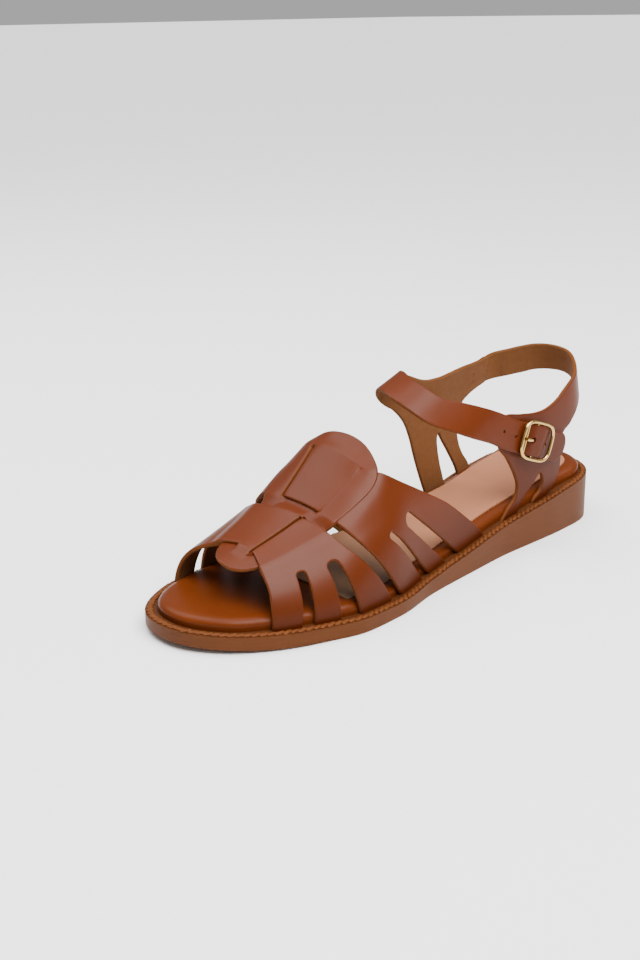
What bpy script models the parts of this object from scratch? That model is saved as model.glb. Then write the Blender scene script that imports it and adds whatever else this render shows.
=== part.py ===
# Fisherman sandal, left shoe: wedge sole, woven vamp, quarters and an ankle strap with a buckle.
# Metres. +Y points to the toe, +X to the inner (medial) side of the foot, +Z up.
# The origin lies on the floor under the middle of the heel seat.
from math import atan2, cos, pi, sin

import bmesh
import bpy
import numpy as np
from mathutils import Vector
from mathutils.geometry import delaunay_2d_cdt

mm = 0.001

# Driving sizes
sole_length = 250 * mm
ball_width = 88 * mm
heel_height = 24 * mm        # side of the sole at the heel, without the footbed
heel_seat = 30 * mm          # from the heel's back edge to the origin
toe_spring = 3.1 * mm
gap = 0.3 * mm               # between pieces that touch

# Sole pieces
midsole_thickness = 2.0 * mm
bottom_rounding = 0.9 * mm
footbed_thickness = 5.0 * mm
footbed_rounding = 2.4 * mm
footbed_lean = 0.7 * mm      # its sides lean in under the straps
sock_thickness = 0.8 * mm
sock_margin = 4.2 * mm
sock_front = 0.76            # share of the length that the sock covers
ledge = 4.8 * mm             # midsole showing outside the straps
leather = 1.8 * mm           # wall of a strap
weave_lift = 1.2 * mm        # how far the upper strip stands above the lower one
weave_run = 5 * mm           # length over which a strip climbs onto another
like_height = 0.15 * mm      # strips closer in height than this share one top
sheet_grid = 6 * mm          # spacing of a sheet's inner points
edge_step = 4 * mm           # spacing of the points along a sheet's edges
least_step = 0.05 * mm       # points closer than this are one

# Plan outline: share of the length, outer and inner side as shares of the ball width
outline_columns = ("at", "outer", "inner")
outline_rows = (
    (0.00, 0.321, 0.342),
    (0.08, 0.332, 0.342),
    (0.18, 0.354, 0.330),
    (0.30, 0.362, 0.288),
    (0.42, 0.397, 0.302),
    (0.54, 0.442, 0.354),
    (0.64, 0.511, 0.427),
    (0.72, 0.527, 0.473),
    (0.80, 0.479, 0.485),
    (0.88, 0.436, 0.485),
    (0.94, 0.398, 0.472),
    (1.00, 0.343, 0.460),
)
heel_round = 28 * mm
heel_power = 2.6
toe_round = 63 * mm
toe_power = 2.3

# Side of the sole: share of the length, height as a share of the heel height
side_columns = ("at", "height")
side_rows = (
    (0.00, 1.000),
    (0.15, 0.813),
    (0.30, 0.613),
    (0.45, 0.392),
    (0.60, 0.240),
    (0.75, 0.254),
    (1.00, 0.225),
)
spring_from = 0.72

# Last above the feather line: share of the length, ridge height over the feather line
# as a share of the instep height, ridge offset to the inner side as a share of the
# ball width, fullness (superellipse power) of the outer and inner side
instep_height = 80 * mm
last_columns = ("at", "height", "ridge", "outer", "inner")
last_rows = (
    (0.10, 1.300, 0.015, 3.0, 3.0),
    (0.24, 1.200, 0.015, 2.9, 3.0),
    (0.34, 1.090, 0.015, 2.7, 2.9),
    (0.42, 0.975, 0.015, 2.5, 2.8),
    (0.50, 0.895, 0.015, 2.4, 2.8),
    (0.59, 0.785, 0.020, 2.4, 2.8),
    (0.66, 0.610, 0.030, 2.35, 2.75),
    (0.73, 0.455, 0.036, 2.25, 2.6),
    (0.80, 0.365, 0.030, 2.1, 2.35),
    (0.86, 0.305, 0.020, 2.1, 2.25),
    (0.93, 0.240, 0.020, 2.1, 2.2),
)
heel_bulge = 3.0 * mm
bulge_ends = 0.44
heel_corner_rounding = 0.15  # the squarish heel turns round higher up


def curve_through(rows, columns, name, x):
    # Monotone cubic through one column of a table
    xs = [row[0] for row in rows]
    ys = [row[columns.index(name)] for row in rows]
    x = min(max(x, xs[0]), xs[-1])
    i = max(k for k in range(len(xs) - 1) if xs[k] <= x)
    steps = [xs[k + 1] - xs[k] for k in range(len(xs) - 1)]
    rises = [(ys[k + 1] - ys[k]) / steps[k] for k in range(len(steps))]

    def slope(k):
        if k == 0 or k == len(xs) - 1:
            return rises[0] if k == 0 else rises[-1]
        a, b = rises[k - 1], rises[k]
        return 0.0 if a * b <= 0 else 2 * a * b / (a + b)

    h = steps[i]
    t = (x - xs[i]) / h
    return (ys[i] * (1 + 2 * t) * (1 - t) ** 2 + slope(i) * h * t * (1 - t) ** 2
            + ys[i + 1] * t * t * (3 - 2 * t) + slope(i + 1) * h * t * t * (t - 1))


def share(y):
    return (y + heel_seat) / sole_length


def sole_edges(y):
    # Outer (negative) and inner x of the sole's edge at a station
    s = share(y)
    outer = curve_through(outline_rows, outline_columns, "outer", s) * ball_width
    inner = curve_through(outline_rows, outline_columns, "inner", s) * ball_width
    centre, half = (inner - outer) / 2, (inner + outer) / 2
    from_back, from_toe = y + heel_seat, sole_length - heel_seat - y
    fill = 1.0
    if from_back < heel_round:
        fill = max(0.0, 1 - (1 - from_back / heel_round) ** heel_power) ** (1 / heel_power)
    if from_toe < toe_round:
        fill = max(0.0, 1 - (1 - from_toe / toe_round) ** toe_power) ** (1 / toe_power)
    return centre - half * fill, centre + half * fill


def floor_line(y):
    lift = min(max((share(y) - spring_from) / (1 - spring_from), 0), 1)
    return toe_spring * lift ** 2


def side_top(y):
    return floor_line(y) + curve_through(side_rows, side_columns, "height", share(y)) * heel_height


feather_inset = ledge + leather


def last_section(y):
    s = share(y)
    outer, inner = sole_edges(y)
    row = {name: curve_through(last_rows, last_columns, name, s) for name in last_columns[1:]}
    return (row["ridge"] * ball_width, outer + feather_inset, inner - feather_inset,
            side_top(y), row["height"] * instep_height, row["outer"], row["inner"])


def bulge(y, rise):
    # The heel part of the last is fuller above the feather line
    fade = min(max((bulge_ends - share(y)) / (bulge_ends - 0.2), 0), 1)
    return heel_bulge * fade * sin(pi * min(max(rise / (0.9 * instep_height), 0), 1))


def section_curve(y, side, count=41):
    # Half a section from the ridge down to the feather line: x, z and the length along it
    ridge, outer, inner, base, height, outer_power, inner_power = last_section(y)
    half = (inner - ridge) if side > 0 else (ridge - outer)
    power = inner_power if side > 0 else outer_power
    turn = np.linspace(0, pi / 2, count)
    rise = height * np.abs(np.cos(turn)) ** (2 / power)
    wide = half * np.sin(turn) ** (2 / power) + np.array([bulge(y, r) for r in rise]) * np.sin(turn)
    length = np.concatenate([[0], np.cumsum(np.hypot(np.diff(wide), np.diff(rise)))])
    return ridge + side * wide, base + rise, length


def last_point(t, y):
    # t runs from -1 at the outer feather line over the ridge to 1 at the inner one
    side = 1 if t >= 0 else -1
    x, z, length = section_curve(y, side)
    along = abs(t) * length[-1]
    return Vector((float(np.interp(along, length, x)), y, float(np.interp(along, length, z))))


def last_normal(t, y):
    step_t, step_y = 0.004, 0.5 * mm
    across = last_point(min(t + step_t, 1), y) - last_point(max(t - step_t, -1), y)
    ahead = last_point(t, y + step_y) - last_point(t, y - step_y)
    return ahead.cross(across).normalized() * -1


heel_radius = 25 * mm
heel_turn = heel_radius * pi / 2
heel_axis_x = last_rows[0][2] * ball_width


def wall_point(u, z):
    # Side of the last round the heel: u runs from the heel's back, negative on the outer side
    if abs(u) > heel_turn:
        y = abs(u) - heel_turn
        side = 1 if u > 0 else -1
        x, zs, _ = section_curve(y, side, 61)
        return Vector((float(np.interp(-z, -zs, x)), y, z))
    angle = u / heel_radius
    heading = Vector((sin(angle), -cos(angle), 0))
    low, high = 0.0, 1.5 * heel_seat
    for _ in range(24):
        reach = (low + high) / 2
        x, y = heel_axis_x + heading.x * reach, heading.y * reach
        inside = -y < heel_seat - 0.01 * mm
        if inside:
            outer, inner = sole_edges(y)
            inside = outer < x < inner
        low, high = (reach, high) if inside else (low, reach)
    radius = low - feather_inset
    base = side_top(heading.y * low)
    _, _, _, _, height, _, power = last_section(0.0)
    rise = min(max(z - base, 0), height)
    corner = 1 - heel_corner_rounding * ease(1.6 * rise / instep_height) * sin(2 * angle) ** 2
    radius = radius * corner * (1 - (rise / height) ** power) ** (1 / power) + bulge(0.0, rise)
    return Vector((heel_axis_x + heading.x * radius, heading.y * radius, z))


def wall_normal(u, z):
    step = 0.5 * mm
    along = wall_point(u + step, z) - wall_point(u - step, z)
    up = wall_point(u, z + step) - wall_point(u, z - step)
    return along.cross(up).normalized()


def seated(point):
    # A strap's lower edge stands just clear of the midsole
    return Vector((point.x, point.y, max(point.z, side_top(point.y) + gap)))


# Flat patterns

def inside(loop, a, b):
    hit = False
    for (a0, b0), (a1, b1) in zip(loop, loop[1:] + loop[:1]):
        if (b0 > b) != (b1 > b) and a < a0 + (b - b0) * (a1 - a0) / (b1 - b0):
            hit = not hit
    return hit


def distance(loop, a, b):
    best = 1.0
    for (a0, b0), (a1, b1) in zip(loop, loop[1:] + loop[:1]):
        da, db = a1 - a0, b1 - b0
        span = da * da + db * db
        k = min(max(((a - a0) * da + (b - b0) * db) / span, 0), 1) if span else 0
        best = min(best, ((a - a0 - k * da) ** 2 + (b - b0 - k * db) ** 2) ** 0.5)
    return best


def outside_distance(loop, a, b):
    return 0.0 if inside(loop, a, b) else distance(loop, a, b)


def ease(x):
    x = min(max(x, 0.0), 1.0)
    return x * x * (3 - 2 * x)


def curve(points, step):
    # Smooth path through a few points, for one edge of a pattern
    points = [np.array(p, float) for p in points]
    ends = [2 * points[0] - points[1]] + points + [2 * points[-1] - points[-2]]
    path = []
    for before, start, stop, after in zip(ends, ends[1:], ends[2:], ends[3:]):
        count = max(1, round(float(np.linalg.norm(stop - start)) / step))
        for k in range(count):
            s = k / count
            path.append(tuple(0.5 * (2 * start + (stop - before) * s
                                     + (2 * before - 5 * start + 4 * stop - after) * s ** 2
                                     + (3 * start - before - 3 * stop + after) * s ** 3)))
    return path + [tuple(points[-1])]


def loop_of(*edges):
    # Closed outline from edges that meet end to end
    loop = []
    for edge in edges:
        loop += [p for p in edge if not loop or np.hypot(p[0] - loop[-1][0], p[1] - loop[-1][1]) > least_step]
    if np.hypot(loop[0][0] - loop[-1][0], loop[0][1] - loop[-1][1]) < least_step:
        loop.pop()
    return loop


def finish(name, mesh, material, smooth_angle=40):
    mesh.normal_update()
    data = bpy.data.meshes.new(name)
    mesh.to_mesh(data)
    mesh.free()
    data.shade_smooth()
    data.set_sharp_from_angle(angle=smooth_angle * pi / 180)
    data.materials.append(material)
    piece = bpy.data.objects.new(name, data)
    bpy.context.collection.objects.link(piece)
    return piece


def cut_sheet(name, loops, top_layer, place, heights, material):
    # A leather sheet cut to a flat pattern and laid on the last. top_layer names the strip
    # that lies uppermost at a flat point, or None outside the leather; heights gives the
    # underside and the top of each strip there
    points, edges = [], []
    for loop in loops:
        start = len(points)
        points += loop
        edges += [(start + k, start + (k + 1) % len(loop)) for k in range(len(loop))]
    low = [min(p[k] for p in points) for k in (0, 1)]
    high = [max(p[k] for p in points) for k in (0, 1)]
    rim = np.array(points)
    for i in range(1, int((high[0] - low[0]) / sheet_grid)):
        for j in range(1, int((high[1] - low[1]) / sheet_grid)):
            a, b = low[0] + i * sheet_grid, low[1] + j * sheet_grid
            if top_layer(a, b) is not None and np.hypot(rim[:, 0] - a, rim[:, 1] - b).min() > 0.6 * sheet_grid:
                points.append((a, b))
    flat, _, triangles, _, _, _ = delaunay_2d_cdt([Vector(p) for p in points], edges, [], 0, 1e-7)
    layer_of = {}
    for k, tri in enumerate(triangles):
        a, b = (sum(flat[v][axis] for v in tri) / 3 for axis in (0, 1))
        layer = top_layer(a, b)
        if layer is not None:
            layer_of[k] = layer
    mesh = bmesh.new()
    under, tops, rank, layers_at, sides = {}, {}, {}, {}, {}
    for k, layer in layer_of.items():
        for v in triangles[k]:
            layers_at.setdefault(v, set()).add(layer)
    for v, layers in layers_at.items():
        # Tops at one flat point from the lowest up; layers of like height share one
        a, b = flat[v]
        under[v] = mesh.verts.new(place(a, b, min(heights(a, b, layer)[0] for layer in layers)))
        tops[v], last_height = [], -1.0
        for height, layer in sorted((heights(a, b, layer)[1], layer) for layer in layers):
            if height - last_height > like_height:
                tops[v].append(mesh.verts.new(place(a, b, height)))
                last_height = height
            rank[v, layer] = len(tops[v]) - 1

    def climb(v, start, stop):
        # Tops at one flat point between two layers, both ends with them
        step = 1 if stop >= start else -1
        return [tops[v][k] for k in range(start, stop + step, step)]

    for k, layer in layer_of.items():
        tri = triangles[k]
        mesh.faces.new([tops[v][rank[v, layer]] for v in tri])
        mesh.faces.new([under[v] for v in reversed(tri)])
        for v, w in zip(tri, tri[1:] + tri[:1]):
            sides.setdefault(tuple(sorted((v, w))), []).append((v, w, layer))
    for used in sides.values():
        v, w, layer = used[0]
        if len(used) == 1:
            mesh.faces.new([under[v], under[w]] + climb(w, 0, rank[w, layer]) + climb(v, rank[v, layer], 0))
        else:
            other = used[1][2]
            wall = climb(v, rank[v, layer], rank[v, other]) + climb(w, rank[w, other], rank[w, layer])
            if len(set(wall)) > 2:
                mesh.faces.new(wall)
    bmesh.ops.triangulate(mesh, faces=mesh.faces[:])
    bmesh.ops.recalc_face_normals(mesh, faces=mesh.faces[:])
    if mesh.calc_volume(signed=True) < 0:
        bmesh.ops.reverse_faces(mesh, faces=mesh.faces[:])
    return finish(name, mesh, material)


def loft(name, rings, material, smooth_angle=40):
    # Closed solid through rings of equal length, with the end rings filled by cross strips
    mesh = bmesh.new()
    verts = [[mesh.verts.new(p) for p in ring] for ring in rings]
    count = len(rings[0])
    for lower, upper in zip(verts, verts[1:]):
        for k in range(count):
            n = (k + 1) % count
            mesh.faces.new([lower[k], lower[n], upper[n], upper[k]])
    for ring, flip in ((verts[0], True), (verts[-1], False)):
        for k in range(count // 2 - 1):
            face = [ring[k], ring[k + 1], ring[count - 2 - k], ring[count - 1 - k]]
            mesh.faces.new(face[::-1] if flip else face)
    bmesh.ops.triangulate(mesh, faces=mesh.faces[:])
    bmesh.ops.recalc_face_normals(mesh, faces=mesh.faces[:])
    return finish(name, mesh, material, smooth_angle)


def material(name, colour, roughness, metallic=0.0):
    finish_of = bpy.data.materials.new(name)
    finish_of.use_nodes = True
    shader = finish_of.node_tree.nodes["Principled BSDF"]
    shader.inputs["Base Color"].default_value = (*colour, 1)
    shader.inputs["Roughness"].default_value = roughness
    shader.inputs["Metallic"].default_value = metallic
    return finish_of


for old in list(bpy.data.objects):
    bpy.data.objects.remove(old)

tan_leather = material("tan_leather", (0.33, 0.10, 0.035), 0.35)
footbed_leather = material("footbed_leather", (0.36, 0.12, 0.045), 0.45)
sock_lining = material("sock_lining", (0.60, 0.36, 0.28), 0.6)
sole_rubber = material("sole_rubber", (0.27, 0.11, 0.05), 0.5)
stitched_rim = material("stitched_rim", (0.40, 0.15, 0.05), 0.6)
light_gold = material("light_gold", (0.85, 0.66, 0.36), 0.2, 1.0)

# Sole

ring_stations = 60


def plan_ring(inset):
    # Points down the inner side of the plan from heel to toe and back up the outer side
    turns = [pi * (k + 0.5) / ring_stations for k in range(ring_stations)]
    ys = [-heel_seat + sole_length * (1 - cos(turn)) / 2 for turn in turns]
    rim = [(sole_edges(y)[1], y) for y in ys] + [(sole_edges(y)[0], y) for y in reversed(ys)]
    ring = []
    for k, (x, y) in enumerate(rim):
        (x0, y0), (x1, y1) = rim[k - 1], rim[(k + 1) % len(rim)]
        span = np.hypot(x1 - x0, y1 - y0)
        ring.append((x - inset * (y1 - y0) / span, y + inset * (x1 - x0) / span))
    return ring


def level(inset, height):
    return [Vector((x, y, height(y))) for x, y in plan_ring(inset)]


def midsole_under(y):
    return side_top(y) - midsole_thickness


outsole = loft("outsole", [
    level(bottom_rounding, floor_line),
    level(0.25 * bottom_rounding, lambda y: floor_line(y) + 0.3 * bottom_rounding),
    level(0.0, lambda y: floor_line(y) + bottom_rounding),
    level(0.0, lambda y: midsole_under(y) - gap),
], sole_rubber)

midsole = loft("midsole", [
    level(0.0, midsole_under),
    level(0.0, side_top),
], stitched_rim)

footbed_inset = feather_inset + gap


def footbed_top(y):
    return side_top(y) + gap + footbed_thickness


footbed = loft("footbed", [
    level(footbed_inset, lambda y: side_top(y) + gap),
    level(footbed_inset + footbed_lean, lambda y: footbed_top(y) - footbed_rounding),
    level(footbed_inset + footbed_lean + 0.3 * footbed_rounding, lambda y: footbed_top(y) - 0.3 * footbed_rounding),
    level(footbed_inset + footbed_lean + footbed_rounding, footbed_top),
], footbed_leather)


def sock_ring(height):
    # The sock follows the footbed to a straight front edge under the vamp
    front = sock_front * sole_length - heel_seat
    ring = plan_ring(footbed_inset + sock_margin)
    half = len(ring) // 2
    held = min(sum(y < front - 1.5 * mm for _, y in side) for side in (ring[:half], ring[half:]))
    inner, outer = ring[:held], ring[-held:]
    inner.append((inner[-1][0], front))
    outer.insert(0, (outer[0][0], front))
    return [Vector((x, y, height(y))) for x, y in inner + outer]


sock = loft("sock", [
    sock_ring(lambda y: footbed_top(y) + gap),
    sock_ring(lambda y: footbed_top(y) + gap + sock_thickness),
], sock_lining)

# Vamp: two bands woven through a long middle strip
# Patterns lie flat: a is the share of the half girth times half_girth, negative on the
# outer side; y is the station
half_girth = 65 * mm


def flat(rows):
    # Table rows of (girth share, length share) to flat pattern points
    return [(t * half_girth, at * sole_length - heel_seat) for t, at in rows]


front_band_front = (
    (-1.02, 0.872), (-0.80, 0.868), (-0.62, 0.861), (-0.44, 0.856), (-0.34, 0.850), (-0.20, 0.843),
    (-0.05, 0.845), (0.10, 0.852), (0.35, 0.868), (0.60, 0.876), (0.80, 0.881), (1.02, 0.886),
)
front_band_back = (
    (1.02, 0.664), (0.88, 0.684), (0.77, 0.704), (0.65, 0.722), (0.50, 0.738), (0.30, 0.747),
    (0.10, 0.750), (-0.10, 0.745), (-0.22, 0.741), (-0.41, 0.731), (-0.55, 0.720), (-0.65, 0.705),
    (-0.77, 0.685), (-0.88, 0.665), (-1.02, 0.643),
)
back_band_front = (
    (-1.02, 0.617), (-0.89, 0.641), (-0.74, 0.668), (-0.60, 0.691), (-0.44, 0.708), (-0.29, 0.716),
    (-0.10, 0.720), (0.06, 0.721), (0.25, 0.721), (0.44, 0.714), (0.60, 0.700), (0.74, 0.682),
    (0.89, 0.657), (1.02, 0.634),
)
back_band_back = (
    (1.02, 0.370), (0.86, 0.422), (0.71, 0.476), (0.58, 0.526), (0.44, 0.583), (0.32, 0.612), (0.12, 0.630),
    (-0.06, 0.631), (-0.26, 0.628), (-0.35, 0.608), (-0.44, 0.578), (-0.59, 0.515), (-0.71, 0.465),
    (-0.86, 0.410), (-1.02, 0.354),
)
# Middle strip: lip, waist and round tab, outer side from lip to tab and back up the inner side
strip_rows = (
    (-0.12, 0.892), (-0.25, 0.890), (-0.34, 0.878), (-0.39, 0.855), (-0.40, 0.820), (-0.40, 0.780),
    (-0.41, 0.735), (-0.41, 0.700), (-0.40, 0.665), (-0.38, 0.632), (-0.32, 0.610), (-0.20, 0.600),
    (-0.05, 0.598), (0.10, 0.602), (0.22, 0.612), (0.28, 0.632), (0.30, 0.665), (0.26, 0.705),
    (0.21, 0.745), (0.16, 0.790), (0.11, 0.840), (0.06, 0.872), (-0.01, 0.886),
)
# Slots between the legs: girth share and length share of the round end, the length shares
# where its two sides meet the sole, and half its width as a share of the length
slot_rows = (
    (-0.60, 0.803, 0.827, 0.805, 0.0080),
    (-0.61, 0.745, 0.756, 0.722, 0.0130),
    (-0.64, 0.629, 0.550, 0.526, 0.0065),
    (-0.60, 0.573, 0.477, 0.438, 0.0130),
    (0.60, 0.819, 0.842, 0.820, 0.0080),
    (0.61, 0.763, 0.776, 0.741, 0.0130),
    (0.64, 0.640, 0.556, 0.505, 0.0065),
    (0.60, 0.580, 0.466, 0.430, 0.0130),
)
slit_width = 0.9 * mm
# Slits that the bands pass through: girth share and length share of each end
slit_rows = (
    (-0.22, 0.848, -0.22, 0.741),
    (-0.08, 0.850, 0.01, 0.750),
    (-0.29, 0.717, -0.26, 0.629),
    (0.06, 0.721, 0.12, 0.630),
)

front_band = loop_of(curve(flat(front_band_front), edge_step), curve(flat(front_band_back), edge_step))
back_band = loop_of(curve(flat(back_band_front), edge_step), curve(flat(back_band_back), edge_step))
strip = loop_of(curve(flat(strip_rows + strip_rows[:1]), edge_step))


def slot_loop(row):
    # Round end towards the ridge, straight sides down past the feather line
    girth, at, front_at, back_at, half_width = row
    side = np.sign(girth)
    top, front, back = flat([(girth, at), (side * 1.04, front_at), (side * 1.04, back_at)])
    radius = half_width * sole_length
    lean = atan2((front[1] + back[1]) / 2 - top[1], abs(front[0]) - abs(top[0]))
    arc = []
    for k in range(7):
        turn = pi / 2 + pi * k / 6
        along, across = cos(turn) * radius, sin(turn) * radius
        arc.append((top[0] + side * (along * cos(lean) - across * sin(lean)),
                    top[1] + along * sin(lean) + across * cos(lean)))
    return [front] + arc + [back]


def slit_loop(row):
    (a0, b0), (a1, b1) = flat([row[:2], row[2:]])
    reach = np.hypot(a1 - a0, b1 - b0)
    da, db = -(b1 - b0) / reach * slit_width / 2, (a1 - a0) / reach * slit_width / 2
    count = 8
    run = [(a0 + (a1 - a0) * k / count, b0 + (b1 - b0) * k / count) for k in range(count + 1)]
    return [(a + da, b + db) for a, b in run] + [(a - da, b - db) for a, b in reversed(run)]


slots = [slot_loop(row) for row in slot_rows]
slits = [slit_loop(row) for row in slit_rows]
feather = [[(side * half_girth, at * sole_length - heel_seat) for at in np.linspace(0.36, 0.92, 57)]
           for side in (-1, 1)]


def slit_side(b, front):
    # Flat place of the two slits at a station
    rows = slit_rows[:2] if front else slit_rows[2:]
    places = []
    for row in rows:
        (a0, b0), (a1, b1) = flat([row[:2], row[2:]])
        k = min(max((b - b0) / (b1 - b0), 0), 1)
        places.append(a0 + (a1 - a0) * k)
    return places


def between_slits(a, b, front):
    outer, inner = slit_side(b, front)
    return outer < a < inner


def vamp_layer(a, b):
    if abs(a) > half_girth or any(inside(slot, a, b) for slot in slots):
        return None
    on_strip, on_front, on_back = inside(strip, a, b), inside(front_band, a, b), inside(back_band, a, b)
    if not (on_strip or on_front or on_back):
        return None
    if any(inside(slit, a, b) for slit in slits):
        return "slit"
    if on_front and (not on_strip or not between_slits(a, b, True)):
        return "front_band"
    if on_back and (not on_strip or between_slits(a, b, False)):
        return "back_band"
    return "strip"


def vamp_heights(a, b, layer):
    if layer == "slit":
        return 0.0, 0.55 * leather
    if layer == "strip":
        over_front = between_slits(a, b, True) * (1 - ease(outside_distance(front_band, a, b) / weave_run))
        outer, inner = slit_side(b, False)
        beside = ease((max(outer - a, a - inner) + 1.5 * mm) / (3 * mm))
        over_back = beside * (1 - ease(outside_distance(back_band, a, b) / weave_run))
        return 0.0, leather + weave_lift * max(over_front, over_back)
    return 0.0, leather + weave_lift * (1 - ease(outside_distance(strip, a, b) / weave_run))


def vamp_place(a, b, lift):
    t = min(max(a / half_girth, -1), 1)
    return seated(last_point(t, b) + last_normal(t, b) * lift)


vamp = cut_sheet("vamp", [front_band, back_band, strip, *slots, *slits, *feather],
                 vamp_layer, vamp_place, vamp_heights, tan_leather)

# Inner quarter with the instep strap, in one piece of leather
# Same flat pattern as the vamp, with the longer half girth of the ankle
ankle_girth = 110 * mm


def ankle_flat(rows):
    return [(t * ankle_girth, at * sole_length - heel_seat) for t, at in rows]


strap_width = 13.4 * mm
strap_path = (
    (0.20, 0.438), (0.06, 0.462), (-0.06, 0.476), (-0.16, 0.472), (-0.26, 0.452), (-0.35, 0.414),
    (-0.44, 0.374), (-0.53, 0.329), (-0.61, 0.288), (-0.69, 0.231), (-0.755, 0.184), (-0.80, 0.144),
)
quarter_top = (
    (0.62, 0.122), (0.50, 0.124), (0.48, 0.150), (0.47, 0.180), (0.44, 0.232), (0.40, 0.288),
    (0.34, 0.336), (0.22, 0.386), (0.12, 0.424), (0.05, 0.442),
)
quarter_front = (
    (0.03, 0.500), (0.10, 0.482), (0.18, 0.468), (0.26, 0.444), (0.38, 0.406), (0.50, 0.380),
    (0.62, 0.360), (0.76, 0.344), (0.94, 0.322), (1.02, 0.310),
)
quarter_back = (
    (1.02, 0.170), (0.95, 0.178), (0.88, 0.196), (0.80, 0.207), (0.72, 0.208), (0.66, 0.198),
    (0.63, 0.170), (0.62, 0.122),
)
quarter_opening = (
    (1.04, 0.210), (0.95, 0.216), (0.85, 0.238), (0.75, 0.264), (0.70, 0.277), (0.74, 0.281),
    (0.85, 0.274), (0.95, 0.264), (1.04, 0.256),
)
strap_hole = 0.8 * mm
strap_holes = (0.666, 0.730, 0.880)   # shares of the way along the strap path
prong_hole = 2.1 * mm
prong_hole_at = 0.807

inner_quarter = loop_of(curve(ankle_flat(quarter_top), edge_step), curve(ankle_flat(quarter_front), edge_step),
                        curve(ankle_flat(quarter_back), edge_step))
inner_opening = loop_of(curve(ankle_flat(quarter_opening), edge_step))
strap_line = curve(ankle_flat(strap_path), 1.5 * mm)


def strap_at(way):
    # Flat point, heading and length at a share of the way along the strap
    line = np.array(strap_line)
    lengths = np.concatenate([[0], np.cumsum(np.hypot(*np.diff(line, axis=0).T))])
    along = way * lengths[-1]
    point = np.array([np.interp(along, lengths, line[:, k]) for k in (0, 1)])
    ahead = np.array([np.interp(along + mm, lengths, line[:, k]) for k in (0, 1)])
    back = np.array([np.interp(along - mm, lengths, line[:, k]) for k in (0, 1)])
    heading = (ahead - back) / np.hypot(*(ahead - back))
    return point, heading, lengths[-1]


def strap_outline():
    left, right = [], []
    length = strap_at(0)[2]
    ways = np.linspace(0, 1 - strap_width / 2 / length, 34)
    for way in ways:
        (a, b), (da, db), _ = strap_at(way)
        left.append((a - db * strap_width / 2, b + da * strap_width / 2))
        right.append((a + db * strap_width / 2, b - da * strap_width / 2))
    (a, b), (da, db), _ = strap_at(ways[-1])
    tip = []
    for k in range(1, 8):
        turn = pi / 2 - pi * k / 8
        along, across = cos(turn) * strap_width / 2, sin(turn) * strap_width / 2
        tip.append((a + da * along - db * across, b + db * along + da * across))
    return left + tip + right[::-1]


def round_hole(way, radius, count=10):
    (a, b), _, _ = strap_at(way)
    return [(a + radius * cos(2 * pi * k / count), b + radius * sin(2 * pi * k / count)) for k in range(count)]


strap = strap_outline()
holes = [round_hole(way, strap_hole) for way in strap_holes] + [round_hole(prong_hole_at, prong_hole, 12)]
ankle_feather = [(ankle_girth, at * sole_length - heel_seat) for at in np.linspace(0.15, 0.33, 24)]

# The strap lies over the outer quarter and rides over the buckle's bar
over_quarter_from, over_quarter_to = -0.36, -0.47
buckle_way = 0.832
buckle_half_length = 9.6 * mm
bar_lift = 1.9 * mm
bar_flat = 1.3 * mm
bar_reach = 6.5 * mm


def along_strap(a, b):
    # Distance from the buckle's bar along the strap, positive towards the instep
    (a0, b0), (da, db), _ = strap_at(buckle_way)
    return -((a - a0) * da + (b - b0) * db)


def strap_crossing(offset):
    # Line across the strap at a distance from the bar, so that its bend is followed
    (a, b), (da, db), _ = strap_at(buckle_way)
    a, b = a - da * offset, b - db * offset
    count = 4
    return [(a + db * strap_width * (k / count - 0.5), b - da * strap_width * (k / count - 0.5))
            for k in range(count + 1)]


bends = [strap_crossing(side * offset) for side in (-1, 1) for offset in
         (0.5 * bar_flat, bar_flat, 0.35 * bar_reach, 0.6 * bar_reach, 0.8 * bar_reach, bar_reach)]


def ankle_layer(a, b):
    if a > ankle_girth or inside(inner_opening, a, b) or any(inside(hole, a, b) for hole in holes):
        return None
    return "leather" if inside(inner_quarter, a, b) or inside(strap, a, b) else None


def strap_lift(a, b):
    lift = (leather + gap) * ease((over_quarter_from * ankle_girth - a)
                                  / ((over_quarter_from - over_quarter_to) * ankle_girth))
    if a < over_quarter_to * ankle_girth:
        lift += bar_lift * (1 - ease((abs(along_strap(a, b)) - bar_flat) / (bar_reach - bar_flat)))
    return lift


def ankle_heights(a, b, layer):
    lift = strap_lift(a, b) if a < 0 else 0.0
    return lift, lift + leather


def ankle_place(a, b, lift):
    t = min(max(a / ankle_girth, -1), 1)
    return seated(last_point(t, b) + last_normal(t, b) * lift)


instep_strap = cut_sheet("instep_strap", [inner_quarter, inner_opening, strap, *holes, *bends, ankle_feather],
                         ankle_layer, ankle_place, ankle_heights, tan_leather)

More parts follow.
